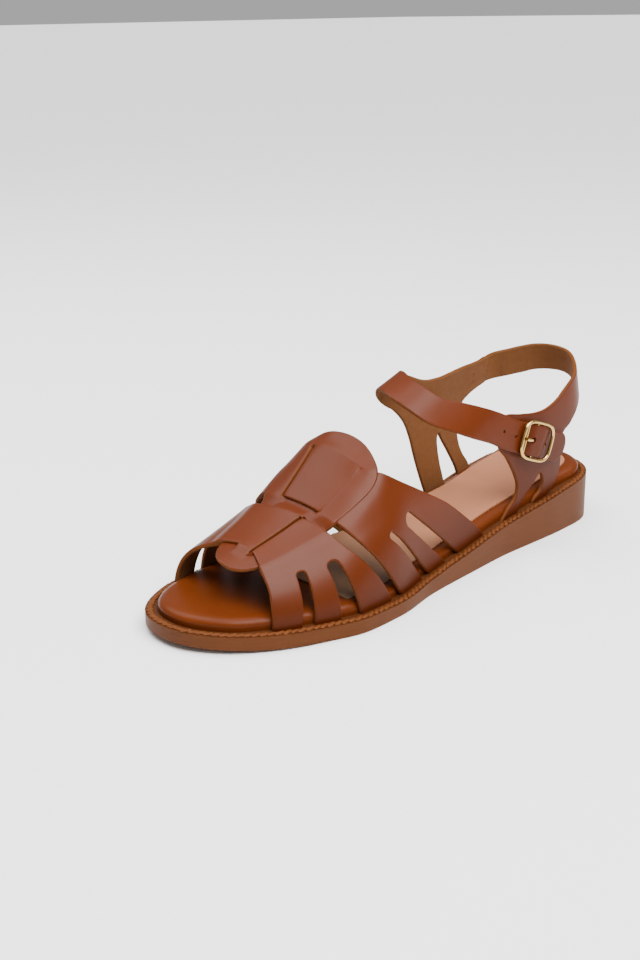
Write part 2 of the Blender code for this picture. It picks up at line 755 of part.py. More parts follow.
# Heel strap with the outer quarter, in one piece of leather
# Its pattern lies round the heel: rows give the way round as a share of the length and the
# height as a share of the instep height
heel_strap_top = (
    (0.216, 0.935), (0.168, 0.955), (0.128, 0.978), (0.080, 1.000), (0.040, 1.018), (-0.008, 1.018),
    (-0.056, 1.000), (-0.104, 0.960), (-0.144, 0.912), (-0.168, 0.875), (-0.192, 0.832), (-0.224, 0.800),
    (-0.256, 0.792), (-0.296, 0.806), (-0.328, 0.822), (-0.350, 0.806), (-0.360, 0.750),
)
outer_quarter_front = (
    (-0.360, 0.750), (-0.358, 0.650), (-0.336, 0.562), (-0.314, 0.450), (-0.304, 0.375), (-0.308, 0.300),
    (-0.326, 0.245), (-0.350, 0.150),
)
outer_quarter_back = (
    (-0.216, 0.150), (-0.206, 0.250), (-0.192, 0.275), (-0.178, 0.350), (-0.176, 0.425), (-0.178, 0.600),
    (-0.152, 0.662), (-0.112, 0.762), (-0.060, 0.838), (-0.016, 0.862), (0.040, 0.850), (0.072, 0.825),
    (0.112, 0.800), (0.176, 0.762), (0.216, 0.735),
)
outer_opening = (
    (-0.256, 0.120), (-0.250, 0.235), (-0.232, 0.290), (-0.228, 0.345), (-0.238, 0.412), (-0.246, 0.400),
    (-0.262, 0.345), (-0.280, 0.300), (-0.294, 0.230), (-0.302, 0.120),
)
seam_from, seam_to = 0.100, 0.150  # where the heel strap climbs over the inner quarter


def round_flat(rows):
    return [(way * sole_length, height * instep_height) for way, height in rows]


heel_piece = loop_of(curve(round_flat(heel_strap_top), edge_step), curve(round_flat(outer_quarter_front), edge_step),
                     curve(round_flat(outer_quarter_back), edge_step))
outer_gap = loop_of(curve(round_flat(outer_opening), edge_step))


def feather_height(u):
    return side_top(abs(u) - heel_turn) + gap


ground_line = [(u, feather_height(u)) for u in np.linspace(-0.36 * sole_length, -0.20 * sole_length, 24)]


def heel_layer(u, z):
    if u < -heel_turn and z < feather_height(u):
        return None
    return "leather" if inside(heel_piece, u, z) and not inside(outer_gap, u, z) else None


def heel_heights(u, z, layer):
    lift = (leather + gap) * ease((u / sole_length - seam_from) / (seam_to - seam_from))
    return lift, lift + leather


def heel_place(u, z, lift):
    return seated(wall_point(u, z) + wall_normal(u, z) * lift)


heel_strap = cut_sheet("heel_strap", [heel_piece, outer_gap, ground_line],
                       heel_layer, heel_place, heel_heights, tan_leather)

# Buckle: a rounded frame with a bar, and its prong
frame_bar = 1.0 * mm
frame_width = 20.0 * mm
frame_corner = 3.6 * mm
bar_radius = 0.8 * mm
side_clearance = 1.8 * mm    # from the strap's edge to the bar's upright ends
prong_radius = 0.75 * mm


def buckle_axes():
    # Centre on the strap's underside over the quarter, heading to the instep, width, outward
    (a, b), _, _ = strap_at(buckle_way)
    (a1, b1), _, _ = strap_at(buckle_way - 0.02)
    centre = ankle_place(a, b, leather)
    outward = last_normal(a / ankle_girth, b)
    ahead = ankle_place(a1, b1, leather) - centre
    ahead = (ahead - outward * ahead.dot(outward)).normalized()
    return centre, ahead, outward.cross(ahead), outward


buckle_centre, buckle_ahead, buckle_across, buckle_out = buckle_axes()


def on_buckle(x, y, z):
    return buckle_centre + buckle_ahead * x + buckle_across * y + buckle_out * z


frame_lift = gap + leather + gap + frame_bar + 0.2 * mm


def rounded_frame():
    points = []
    half_x, half_y = buckle_half_length - frame_bar, frame_width / 2 - frame_bar
    for cx, cy, start in ((1, 1, 0), (-1, 1, 1), (-1, -1, 2), (1, -1, 3)):
        for k in range(5):
            turn = pi / 2 * (start + k / 4)
            points.append(Vector((cx * (half_x - frame_corner) + cos(turn) * frame_corner,
                                  cy * (half_y - frame_corner) + sin(turn) * frame_corner, frame_lift)))
    return points


def tube(mesh, path, radii, closed, sides=10):
    # Round bar along a path in the buckle's own axes
    rings = []
    count = len(path)
    for k, point in enumerate(path):
        before = path[k - 1] if closed or k else path[k]
        after = path[(k + 1) % count] if closed or k < count - 1 else path[k]
        run = (after - before).normalized()
        side = run.cross(Vector((0, 0, 1)))
        side = (side if side.length > 0.1 else Vector((0, 1, 0))).normalized()
        rise = side.cross(run)
        rings.append([mesh.verts.new(on_buckle(*(point + (side * cos(turn) + rise * sin(turn)) * radii[k])))
                      for turn in (2 * pi * n / sides for n in range(sides))])
    pairs = list(zip(rings, rings[1:])) + ([(rings[-1], rings[0])] if closed else [])
    for lower, upper in pairs:
        for n in range(sides):
            m = (n + 1) % sides
            mesh.faces.new([lower[n], lower[m], upper[m], upper[n]])
    if not closed:
        mesh.faces.new(rings[0][::-1])
        mesh.faces.new(rings[-1])


def bar_path():
    # The bar dips from the frame's sides to run under the strap
    half = frame_width / 2 - frame_bar
    low = gap + bar_radius
    inner = strap_width / 2 + side_clearance
    stations = ((1.0, frame_lift), (0.5, 0.55 * frame_lift + 0.45 * low), (0.0, low))
    side = [Vector((0, inner + (half - inner) * k, z)) for k, z in stations]
    return side + [Vector((0, -p.y, p.z)) for p in reversed(side)]


def solid_of(name, path, radii, closed, sides=10):
    mesh = bmesh.new()
    tube(mesh, path, radii, closed, sides)
    bmesh.ops.recalc_face_normals(mesh, faces=mesh.faces[:])
    return finish(name, mesh, light_gold, 60)


buckle = solid_of("buckle", rounded_frame(), [frame_bar] * 20, True)
bar = solid_of("buckle_bar", bar_path(), [bar_radius] * 6, False)
join = buckle.modifiers.new("join", "BOOLEAN")
join.operation = "UNION"
join.object = bar
bar.hide_render = True
bar.display_type = "WIRE"

prong_top = frame_lift + frame_bar + gap + prong_radius
prong_rows = (
    (0.26, 0.42, 0.70), (0.40, 0.64, 0.90), (0.64, 0.90, 1.0), (0.88, 1.0, 1.0), (1.02, 0.98, 0.8),
)
prong = solid_of("buckle_prong",
                 [Vector((along * buckle_half_length, 0, rise * prong_top)) for along, rise, _ in prong_rows],
                 [thick * prong_radius for _, _, thick in prong_rows], False, 8)
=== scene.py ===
# Fisherman sandal, left shoe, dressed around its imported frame
# Metres, in the frame's own axes: +Y to the toe, +X to the inner side of the foot, +Z up
from math import atan2, cos, pi, sin

import bmesh
import bpy
import numpy as np
from mathutils import Matrix, Vector
from mathutils.geometry import delaunay_2d_cdt


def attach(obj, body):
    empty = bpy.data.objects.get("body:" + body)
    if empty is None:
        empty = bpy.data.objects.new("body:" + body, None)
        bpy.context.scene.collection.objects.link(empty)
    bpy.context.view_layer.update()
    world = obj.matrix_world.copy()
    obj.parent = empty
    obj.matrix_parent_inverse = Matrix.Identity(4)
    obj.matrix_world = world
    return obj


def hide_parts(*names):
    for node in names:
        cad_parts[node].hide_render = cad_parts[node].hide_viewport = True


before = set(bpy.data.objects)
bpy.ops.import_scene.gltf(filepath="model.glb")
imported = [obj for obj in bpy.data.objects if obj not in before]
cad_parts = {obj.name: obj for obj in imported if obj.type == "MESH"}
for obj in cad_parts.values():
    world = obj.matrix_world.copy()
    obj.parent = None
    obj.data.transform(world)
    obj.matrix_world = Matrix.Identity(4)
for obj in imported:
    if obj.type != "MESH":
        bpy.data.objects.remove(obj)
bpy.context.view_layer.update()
mm = 0.001
print("frame loaded:", sorted(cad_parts))

# Camera, floor and light

camera = {
    "place": (-0.399086, 0.488122, 0.241445),
    "right": (-0.66594, -0.74586, -0.01476),
    "up": (0.24240, -0.23505, 0.94127),
    "back": (-0.70553, 0.62325, 0.33733),
    "lens": 49.19,
}
studio = {
    "floorSize": 60.0, "floorTone": (0.93, 0.93, 0.93), "worldTone": (1.0, 1.0, 1.0), "worldStrength": 0.45,
    # name, place, aims at, size, watts, tone
    "lamps": (
        ("topLight", (0.60, 0.36, 1.0), (0.0, 0.10, 0.04), 0.9, 11.0, (1.0, 0.98, 0.97)),
        ("overLight", (-0.60, 0.18, 1.00), (-0.02, 0.13, 0.04), 0.9, 18.5, (1.0, 0.97, 0.96)),
        ("sideLight", (-1.3, 0.05, 0.95), (0.0, 0.10, 0.03), 1.0, 4.0, (1.0, 0.97, 0.95)),
    ),
    # the even light over the whole floor: direction that it comes from, strength, angle
    "even": ((-0.25, -0.1, 1.0), 4.5, 70 * pi / 180),
}


def setCamera():
    eye = bpy.data.cameras.new("camera")
    eye.lens = camera["lens"]
    holder = bpy.data.objects.new("camera", eye)
    turn = Matrix((camera["right"], camera["up"], camera["back"])).transposed().to_4x4()
    holder.matrix_world = Matrix.Translation(camera["place"]) @ turn
    bpy.context.collection.objects.link(holder)
    bpy.context.scene.camera = holder


def addLight(name, kind, place, source, **settings):
    # source is the direction that the light comes from
    lamp = bpy.data.lights.new(name, kind)
    for key, value in settings.items():
        setattr(lamp, key, value)
    holder = bpy.data.objects.new(name, lamp)
    holder.location = place
    holder.rotation_euler = source.to_track_quat("Z", "Y").to_euler()
    bpy.context.collection.objects.link(holder)


setCamera()
source, strength, angle = studio["even"]
addLight("evenLight", "SUN", (0, 0, 0), Vector(source), energy=strength, angle=angle)
for name, place, target, size, watts, tone in studio["lamps"]:
    addLight(name, "AREA", place, Vector(place) - Vector(target), shape="DISK", size=size, energy=watts, color=tone)
world = bpy.data.worlds.new("studio")
world.use_nodes = True
sky = world.node_tree.nodes["Background"].inputs
sky["Color"].default_value, sky["Strength"].default_value = (*studio["worldTone"], 1), studio["worldStrength"]
bpy.context.scene.world = world
print("camera and lights set")


# Materials: a wire is a shader socket that Python's operators work on

class Wire:
    def __init__(self, look, socket):
        self.look, self.socket = look, socket

    def maths(self, operation, first, second):
        return self.look.node("Math", {"operation": operation}, {0: first, 1: second})

    def __add__(self, other):
        return self.maths("ADD", self, other)

    def __sub__(self, other):
        return self.maths("SUBTRACT", self, other)

    def __rsub__(self, other):
        return self.maths("SUBTRACT", other, self)

    def __mul__(self, other):
        return self.maths("MULTIPLY", self, other)

    def __truediv__(self, other):
        return self.maths("DIVIDE", self, other)


class Look:
    def __init__(self, name):
        self.material = bpy.data.materials.new(name)
        self.material.use_nodes = True
        self.tree = self.material.node_tree
        self.shader = self.tree.nodes["Principled BSDF"]

    def node(self, kind, settings, values, output=0):
        made = self.tree.nodes.new("ShaderNode" + kind)
        for key, value in settings.items():
            if key == "stops":
                ramp = made.color_ramp
                for k, (place, tone) in enumerate(value):
                    stop = ramp.elements[k] if k < 2 else ramp.elements.new(place)
                    stop.position, stop.color = place, (tone, tone, tone, 1)
            else:
                setattr(made, key, value)
        for key, value in values.items():
            if isinstance(value, Wire):
                self.tree.links.new(value.socket, made.inputs[key])
            else:
                made.inputs[key].default_value = value
        return Wire(self, made.outputs[output])

    def place(self):
        return self.node("TexCoord", {}, {}, "Object")

    def flat(self):
        return self.node("UVMap", {"uv_map": "flat"}, {})

    def painted(self, name):
        return self.node("Attribute", {"attribute_name": name}, {}, "Fac")

    def stretched(self, vector, scale):
        return self.node("Mapping", {}, {"Vector": vector, "Scale": scale})

    def noise(self, vector, size, detail=3.0, rough=0.5):
        return self.node("TexNoise", {}, {"Vector": vector, "Scale": 1 / size, "Detail": detail, "Roughness": rough})

    def ramp(self, value, *stops):
        return self.node("ValToRGB", {"stops": stops}, {0: value})

    def blend(self, share, under, over):
        under, over = [(*c, 1) if isinstance(c, tuple) else c for c in (under, over)]
        return self.node("Mix", {"data_type": "RGBA"}, {0: share, 6: under, 7: over}, 2)

    def bump(self, height, distance, strength=1.0):
        return self.node("Bump", {}, {"Height": height, "Distance": distance, "Strength": strength})

    def use(self, **sockets):
        for key, value in sockets.items():
            socket = self.shader.inputs[key.replace("_", " ")]
            if isinstance(value, Wire):
                self.tree.links.new(value.socket, socket)
            else:
                socket.default_value = (*value, 1) if isinstance(value, tuple) else value
        return self.material


upperTones = {
    "bright": (0.092, 0.0165, 0.0018), "dark": (0.066, 0.0110, 0.0013), "burnishShadeTone": (0.045, 0.0082, 0.0014),
    "raw": (0.110, 0.034, 0.0085), "lining": (0.160, 0.065, 0.024), "liningDark": (0.110, 0.044, 0.016),
    "roughness": 0.42, "coat": 0.16, "grain": 0.7 * mm, "wrinkle": 2.2 * mm,
}


def upperLeather():
    look, t = Look("burnishedLeather"), upperTones
    cut = look.ramp(look.painted("cut"), (0.45, 0.0), (0.95, 1.0))
    lining, burnishShade = look.painted("lining"), look.painted("burnishShade")
    outside = look.blend(look.noise(look.flat(), 26 * mm, 4), t["dark"], t["bright"])
    # A darker tone blends in towards the sole, along the strap and low on the heel: partly burnish, partly painted
    # shade
    outside = look.blend(burnishShade, outside, t["burnishShadeTone"])
    inside = look.blend(look.noise(look.flat(), 3 * mm, 5, 0.65), t["liningDark"], t["lining"])
    colour = look.blend(cut, look.blend(lining, outside, inside), t["raw"])
    grain = look.noise(look.place(), t["grain"], 4, 0.6)
    wrinkles = look.noise(look.stretched(look.flat(), (1, 0.16, 1)), t["wrinkle"], 2)
    height = grain * 0.10 + (wrinkles * 1.4 + look.noise(look.place(), 0.4 * mm, 2) * 0.5) * lining
    soft = look.noise(look.flat(), 9 * mm, 3)
    return look.use(Base_Color=colour, Roughness=soft * 0.10 + (t["roughness"] - 0.05) + lining * 0.32 + cut * 0.25,
                    Coat_Weight=(1 - lining) * (1 - cut) * (1 - burnishShade) * t["coat"], Coat_Roughness=0.27,
                    Specular_IOR_Level=0.07, Normal=look.bump(height, 0.16 * mm, 0.8))


soleTones = {"body": (0.094, 0.0305, 0.0088), "dark": (0.066, 0.0200, 0.0056), "roughness": 0.50}


def moulded():
    look, t = Look("mouldedSole"), soleTones
    streaks = look.noise(look.stretched(look.place(), (0.12, 0.12, 1)), 1.3 * mm, 5, 0.62)
    cloud = look.noise(look.place(), 30 * mm, 3)
    share = look.ramp(streaks, (0.30, 0.0), (0.72, 1.0)) * 0.55 + cloud * 0.45
    return look.use(Base_Color=look.blend(share, t["dark"], t["body"]),
                    Roughness=streaks * 0.18 + (t["roughness"] - 0.09), Specular_IOR_Level=0.08,
                    Normal=look.bump(streaks * 0.6 + look.noise(look.place(), 0.5 * mm, 3) * 0.3, 0.10 * mm, 0.6))


# The rim's top: its leather tone is painted dark as shade in the gap between the rope and the footbed
rimShadedTones = {"body": (0.078, 0.0225, 0.0050), "dark": (0.036, 0.0100, 0.0022), "roughness": 0.55}


def rimShadedLeather():
    look, t = Look("rimShadedLeather"), rimShadedTones
    cloud = look.noise(look.place(), 5 * mm, 5, 0.6)
    return look.use(Base_Color=look.blend(cloud, t["dark"], t["body"]), Roughness=t["roughness"],
                    Specular_IOR_Level=0.12, Normal=look.bump(look.noise(look.place(), 0.6 * mm, 4), 0.12 * mm, 0.6))


ropeTones = {"body": (0.150, 0.043, 0.0080), "dark": (0.044, 0.0115, 0.0021), "roughness": 0.6}


def ropeThread():
    look, t = Look("ropeThread"), ropeTones
    strands = look.noise(look.place(), 0.55 * mm, 3, 0.7)
    return look.use(Base_Color=look.blend(look.ramp(strands, (0.32, 0.0), (0.68, 1.0)), t["dark"], t["body"]),
                    Roughness=t["roughness"], Specular_IOR_Level=0.12, Normal=look.bump(strands, 0.15 * mm, 0.7))


footbedTones = {"bright": (0.100, 0.0200, 0.0024), "dark": (0.070, 0.0132, 0.0016), "roughness": 0.38}


def footbedLeather():
    look, t = Look("footbedLeather"), footbedTones
    cloud = look.noise(look.place(), 22 * mm, 4)
    grain = look.noise(look.place(), 0.8 * mm, 4, 0.6)
    creases = look.noise(look.stretched(look.place(), (0.3, 1, 1)), 6 * mm, 3)
    return look.use(Base_Color=look.blend(cloud, t["dark"], t["bright"]),
                    Roughness=grain * 0.1 + (t["roughness"] - 0.05),
                    Coat_Weight=0.06, Coat_Roughness=0.24, Specular_IOR_Level=0.07,
                    Normal=look.bump(grain * 0.18 + creases * 0.35, 0.18 * mm, 0.7))


# The sock's darkest tone is painted shade towards its front, where the vamp covers it
sockTones = {"body": (0.350, 0.147, 0.077), "shade": (0.300, 0.120, 0.062), "wearAndShade": (0.115, 0.062, 0.034),
             "roughness": 0.55, "paintedShadeFrom": 70 * mm, "paintedShadeRun": 55 * mm}


def sockLeather():
    look, t = Look("sockLining"), sockTones
    cloud = look.noise(look.place(), 14 * mm, 4)
    grain = look.noise(look.place(), 0.7 * mm, 3, 0.6)
    # Painted shade: the sock darkens towards its front, under the vamp
    along = look.node("SeparateXYZ", {}, {0: look.place()}, "Y")
    wearAndShade = look.ramp((along - t["paintedShadeFrom"]) / t["paintedShadeRun"], (0.0, 0.0), (1.0, 1.0))
    colour = look.blend(wearAndShade, look.blend(cloud, t["shade"], t["body"]), t["wearAndShade"])
    return look.use(Base_Color=colour, Roughness=grain * 0.12 + (t["roughness"] - 0.06), Specular_IOR_Level=0.2,
                    Normal=look.bump(grain, 0.08 * mm, 0.5))


buckleTones = {"body": (0.600, 0.395, 0.135), "wearAndShade": (0.460, 0.290, 0.095), "roughness": 0.13}


def lightGold():
    look, t = Look("lightGold"), buckleTones
    rub = look.noise(look.place(), 2.5 * mm, 4, 0.6)
    return look.use(Base_Color=look.blend(rub, t["wearAndShade"], t["body"]), Metallic=1.0,
                    Roughness=rub * 0.08 + (t["roughness"] - 0.04),
                    Normal=look.bump(look.noise(look.place(), 1.2 * mm, 2), 0.02 * mm, 0.4))


stitchTones = {"body": (0.070, 0.025, 0.008), "dark": (0.036, 0.012, 0.004)}


def seamThread():
    look, t = Look("seamThread"), stitchTones
    strands = look.noise(look.place(), 0.4 * mm, 3)
    return look.use(Base_Color=look.blend(strands, t["dark"], t["body"]), Roughness=0.6,
                    Normal=look.bump(strands, 0.08 * mm, 0.6))


leather, soleRubber, rimTopShaded, rope = upperLeather(), moulded(), rimShadedLeather(), ropeThread()
bedLeather, sockLook, gold, thread = footbedLeather(), sockLeather(), lightGold(), seamThread()
print("materials made")


def named(name):
    piece = bpy.context.object
    piece.name = piece.data.name = name
    return piece


bpy.ops.object.select_all(action="DESELECT")
bpy.ops.mesh.primitive_plane_add(size=studio["floorSize"], location=(0, 0, 0))
floor = named("floor")
floor.data.materials.append(Look("paleFloor").use(Base_Color=studio["floorTone"], Roughness=0.85))


def through(rows, column, x):
    # Monotone curve through one column of a table
    rows = np.array(rows)
    xs, ys = rows[:, 0], rows[:, column]
    x = np.clip(x, xs[0], xs[-1])
    step = np.diff(xs)
    rise = np.diff(ys) / step
    both = rise[:-1] * rise[1:]
    middle = np.where(both > 0, 2 * both / np.where(both > 0, rise[:-1] + rise[1:], 1), 0)
    slope = np.concatenate([rise[:1], middle, rise[-1:]])
    i = np.clip(np.searchsorted(xs, x, side="right") - 1, 0, len(step) - 1)
    h = step[i]
    t = (x - xs[i]) / h
    return (ys[i] * (1 + 2 * t) * (1 - t) ** 2 + slope[i] * h * t * (1 - t) ** 2
            + ys[i + 1] * t * t * (3 - 2 * t) + slope[i + 1] * h * t * t * (t - 1))


def ease(x):
    x = np.clip(x, 0, 1)
    return x * x * (3 - 2 * x)


def edgeDistance(segments, p):
    best = np.full(len(p), 1.0)
    for (a0, b0), (a1, b1) in segments:
        da, db = a1 - a0, b1 - b0
        span = da * da + db * db
        if span:
            k = np.clip(((p[:, 0] - a0) * da + (p[:, 1] - b0) * db) / span, 0, 1)
            best = np.minimum(best, np.hypot(p[:, 0] - a0 - k * da, p[:, 1] - b0 - k * db))
    return best


def sides(*loops):
    return [pair for loop in loops for pair in zip(loop, np.roll(loop, -1, 0))]


# Sole: plan and side, the same as the frame's

sole = {
    "length": 250 * mm, "ball": 88 * mm, "heel": 24 * mm, "seat": 30 * mm,
    "springRise": 3.1 * mm, "springFrom": 0.72, "rim": 2.0 * mm, "clear": 0.05 * mm,
    "rounding": 0.8 * mm, "rimRounding": 0.5 * mm, "wallBelow": 0.85,
    "heelRound": 28 * mm, "heelPower": 2.6, "toeRound": 63 * mm, "toePower": 2.3,
    # share of the length, outer side and inner side as shares of the ball width
    "outline": (
        (0.00, 0.321, 0.342), (0.08, 0.332, 0.342), (0.18, 0.354, 0.330), (0.30, 0.362, 0.288),
        (0.42, 0.397, 0.302), (0.54, 0.442, 0.354), (0.64, 0.511, 0.427), (0.72, 0.527, 0.473),
        (0.80, 0.479, 0.485), (0.88, 0.436, 0.485), (0.94, 0.398, 0.472), (1.00, 0.343, 0.460),
    ),
    # share of the length, height as a share of the heel height
    "side": ((0.00, 1.000), (0.15, 0.813), (0.30, 0.613), (0.45, 0.392), (0.60, 0.240), (0.75, 0.254), (1.00, 0.225)),
    "rows": 150, "across": 24,
}


def share(y):
    return (y + sole["seat"]) / sole["length"]


def station(s):
    return s * sole["length"] - sole["seat"]


def lengthsAlong(path):
    return np.concatenate([[0], np.cumsum(np.hypot(*np.diff(path, axis=0).T))])


def soleEdges(y):
    # Outer and inner edge at a station
    s = share(y)
    outer, inner = through(sole["outline"], 1, s) * sole["ball"], through(sole["outline"], 2, s) * sole["ball"]
    back = np.clip(1 - s * sole["length"] / sole["heelRound"], 0, 1)
    toe = np.clip(1 - (1 - s) * sole["length"] / sole["toeRound"], 0, 1)
    fill = (np.clip(1 - back ** sole["heelPower"], 0, 1) ** (1 / sole["heelPower"])
            * np.clip(1 - toe ** sole["toePower"], 0, 1) ** (1 / sole["toePower"]))
    centre, half = (inner - outer) / 2, (inner + outer) / 2
    return centre - half * fill, centre + half * fill


def floorLine(y):
    return sole["springRise"] * np.clip((share(y) - sole["springFrom"]) / (1 - sole["springFrom"]), 0, 1) ** 2


def sideTop(y):
    return floorLine(y) + through(sole["side"], 1, share(y)) * sole["heel"]


def planRing(inset, rows):
    # Outer and inner points of the plan, drawn in by an inset or by a rule for it
    turn = pi * (np.arange(rows) + 0.5) / rows
    y = station((1 - np.cos(turn)) / 2)
    outer, inner = soleEdges(y)
    ring = np.concatenate([np.stack([inner, y], 1), np.stack([outer, y], 1)[::-1]])
    ahead = np.roll(ring, -1, 0) - np.roll(ring, 1, 0)
    ahead /= np.hypot(*ahead.T)[:, None]
    drawn = inset(ring[:, 1])[:, None] if callable(inset) else inset
    ring = ring + drawn * np.stack([-ahead[:, 1], ahead[:, 0]], 1)
    return ring[rows:][::-1], ring[:rows]


def activate(piece):
    bpy.ops.object.select_all(action="DESELECT")
    piece.select_set(True)
    bpy.context.view_layer.objects.active = piece


def planGrid(name, across, rows):
    bpy.ops.object.select_all(action="DESELECT")
    bpy.ops.mesh.primitive_grid_add(x_subdivisions=across, y_subdivisions=rows - 1, size=2)
    return named(name)


def solePlate(name, inset, top, bottom, rounding, material, bothEdges=False, pillow=None):
    # A grid spread over the plan, extruded down and bevelled round its rim, or rounded like a pillow:
    # pillow holds how far the rounding reaches in and how far it drops
    rows = sole["rows"]
    piece = planGrid(name, sole["across"], rows)
    outer, inner = planRing(inset, rows)
    plan = []
    for v in piece.data.vertices:
        row, way = round((v.co.y + 1) / 2 * (rows - 1)), (v.co.x + 1) / 2
        plan.append(outer[row] + (inner[row] - outer[row]) * ((1 - cos(pi * way)) / 2 if pillow else way))
    plan = np.array(plan)
    drop = np.zeros(len(plan))
    if pillow:
        reach, depth = pillow
        away = np.clip(1 - edgeDistance(sides(np.concatenate([inner, outer[::-1]])), plan) / reach, 0, 1)
        drop = depth * (1 - np.sqrt(1 - away ** 2))
    for v, (x, y), lower in zip(piece.data.vertices, plan, drop):
        v.co = (x, y, top(y) - lower)
    bpy.ops.object.mode_set(mode="EDIT")
    bpy.ops.mesh.select_all(action="SELECT")
    bpy.ops.mesh.extrude_region_move(TRANSFORM_OT_translate={"value": (0, 0, -1)})
    bpy.ops.mesh.select_all(action="SELECT")
    bpy.ops.mesh.normals_make_consistent(inside=False)
    mesh = bmesh.from_edit_mesh(piece.data)
    for v in mesh.verts:
        if v.co.z < -0.5:
            v.co.z = bottom(v.co.y)
    bpy.ops.mesh.select_all(action="DESELECT")
    wall = {f for f in mesh.faces if abs(f.normal.z) < 0.5}
    for edge in mesh.edges:
        onWalls = [f in wall for f in edge.link_faces]
        end = edge.verts[0].co
        edge.select = (onWalls.count(True) == 1 and (bothEdges or end.z > (top(end.y) + bottom(end.y)) / 2)
                       and edge.link_faces[onWalls.index(False)].calc_center_median().z > 0)
    bmesh.update_edit_mesh(piece.data)
    if rounding:
        bpy.ops.mesh.bevel(offset=rounding, segments=4, profile=0.5, clamp_overlap=False)
    bpy.ops.object.mode_set(mode="OBJECT")
    activate(piece)
    bpy.ops.object.shade_smooth_by_angle(angle=50 * pi / 180)
    piece.data.materials.append(material)
    return piece


def seatOn(piece, node):
    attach(piece, "root")
    if node:
        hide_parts(node)


outsole = solePlate("wedgeSole", 0.0, lambda y: sideTop(y) - sole["rim"] + sole["clear"], floorLine,
                    sole["rounding"], soleRubber, True)
seatOn(outsole, "outsole")
print("outsole made")

midsole = solePlate("rimPlate", 0.0, sideTop, lambda y: sideTop(y) - sole["rim"], sole["rimRounding"], rimTopShaded)
midsole.data.materials.append(soleRubber)
for face in midsole.data.polygons:
    if abs(face.normal.z) < sole["wallBelow"]:
        face.material_index = 1
seatOn(midsole, "midsole")
print("rim made")

# Rope stitching: one twisted stitch, copied along the rim

ropeStitch = {"inset": 2.0 * mm, "pitch": 3.2 * mm, "long": 4.9 * mm, "wide": 2.3 * mm, "high": 1.6 * mm,
              "lean": 0.40, "sink": 0.62 * mm, "uneven": 0.10, "unevenSize": 0.6, "seed": 5, "ringRows": 400}
blunt = {"fuller": 1.5, "width": 0.9}


def capsule(name, long, wide, high, segments=8, rings=7):
    # A stitch along X with blunt ends
    bpy.ops.object.select_all(action="DESELECT")
    bpy.ops.mesh.primitive_uv_sphere_add(segments=segments, ring_count=rings, radius=0.5, rotation=(0, pi / 2, 0))
    piece = named(name)
    bpy.ops.object.transform_apply(location=True, rotation=True, scale=True)
    for v in piece.data.vertices:
        slim = (0.25 - min(v.co.x ** 2, 0.25)) ** 0.5 * 2
        wider = min(1.0, slim * blunt["fuller"]) / max(slim, 0.01) * blunt["width"]
        v.co = (v.co.x * long, v.co.y * wide * wider, v.co.z * high * wider)
    return piece


def copiesOf(model, name, places, material):
    # places are 4x4 matrices; the copies are joined with their places in the mesh
    bpy.ops.object.select_all(action="DESELECT")
    for place in places:
        copy = model.copy()
        copy.data = model.data.copy()
        copy.data.transform(place)
        bpy.context.collection.objects.link(copy)
        copy.select_set(True)
        bpy.context.view_layer.objects.active = copy
    bpy.ops.object.join()
    piece = named(name)
    bpy.ops.object.shade_smooth()
    piece.data.materials.clear()
    piece.data.materials.append(material)
    bpy.data.objects.remove(model)
    return piece


def turned(at, ahead, up, lean=0.0):
    # Frame at a point: x ahead, z up, turned about up by the lean
    ahead = Vector(ahead).normalized()
    side = Vector(up).cross(ahead).normalized()
    up = ahead.cross(side)
    ahead, side = ahead * cos(lean) + side * sin(lean), side * cos(lean) - ahead * sin(lean)
    return Matrix.Translation(Vector(at)) @ Matrix((ahead, side, up)).transposed().to_4x4()


def alongRing(ring, pitch):
    # Evenly spaced points and headings round a closed plan ring
    closed = np.concatenate([ring, ring[:1]])
    length = lengthsAlong(closed)
    count = int(round(length[-1] / pitch))
    at = np.arange(count) * length[-1] / count
    place = np.stack([np.interp(at, length, closed[:, k]) for k in (0, 1)], 1)
    ahead = np.stack([np.interp((at + 0.5 * mm) % length[-1], length, closed[:, k]) for k in (0, 1)], 1) - place
    return place, ahead


def ropeRound():
    s = ropeStitch
    outer, inner = planRing(s["inset"], s["ringRows"])
    places, aheads = alongRing(np.concatenate([outer, inner[::-1]]), s["pitch"])
    frames = []
    draws = np.random.default_rng(s["seed"]).normal(0, s["uneven"], (len(places), 2))
    for (x, y), (dx, dy), (more, larger) in zip(places, aheads, draws):
        size = float(np.hypot(dx, dy))
        rise = (sideTop(y + dy / size * mm) - sideTop(y - dy / size * mm)) / (2 * mm)
        at = (x, y, sideTop(y) + s["high"] / 2 - s["sink"])
        placed = turned(at, (dx / size, dy / size, rise), (0, 0, 1), s["lean"] + more)
        frames.append(placed @ Matrix.Scale(1 + s["unevenSize"] * larger, 4))
    stitch = capsule("ropeStitch", s["long"], s["wide"], s["high"])
    seatOn(copiesOf(stitch, "ropeStitching", frames, rope), None)


ropeRound()
print("rope stitching made")

# Footbed and sock

bed = {
    "thickness": 5.0 * mm, "gap": 0.3 * mm, "inset": 6.7 * mm, "pillow": (4.6 * mm, 3.0 * mm),
    # how much fuller each end is, from which share of the length and over which run
    "fullerToe": (1.2 * mm, 0.885, 0.06), "fullerHeel": (2.5 * mm, 0.125, 0.08),
}
sockCut = {"margin": 4.4 * mm, "front": 0.745, "thickness": 0.7 * mm, "tooth": 0.45 * mm, "rows": 260, "across": 16,
           "ringRows": 600}


def bedInset(y):
    (toe, toeFrom, toeRun), (back, backFrom, backRun) = bed["fullerToe"], bed["fullerHeel"]
    return bed["inset"] - toe * ease((share(y) - toeFrom) / toeRun) - back * ease((backFrom - share(y)) / backRun)


def bedTop(y):
    return sideTop(y) + bed["gap"] + bed["thickness"]


footbed = solePlate("paddedFootbed", bedInset, bedTop, lambda y: sideTop(y) + sole["clear"], None, bedLeather,
                    pillow=bed["pillow"])
seatOn(footbed, "footbed")


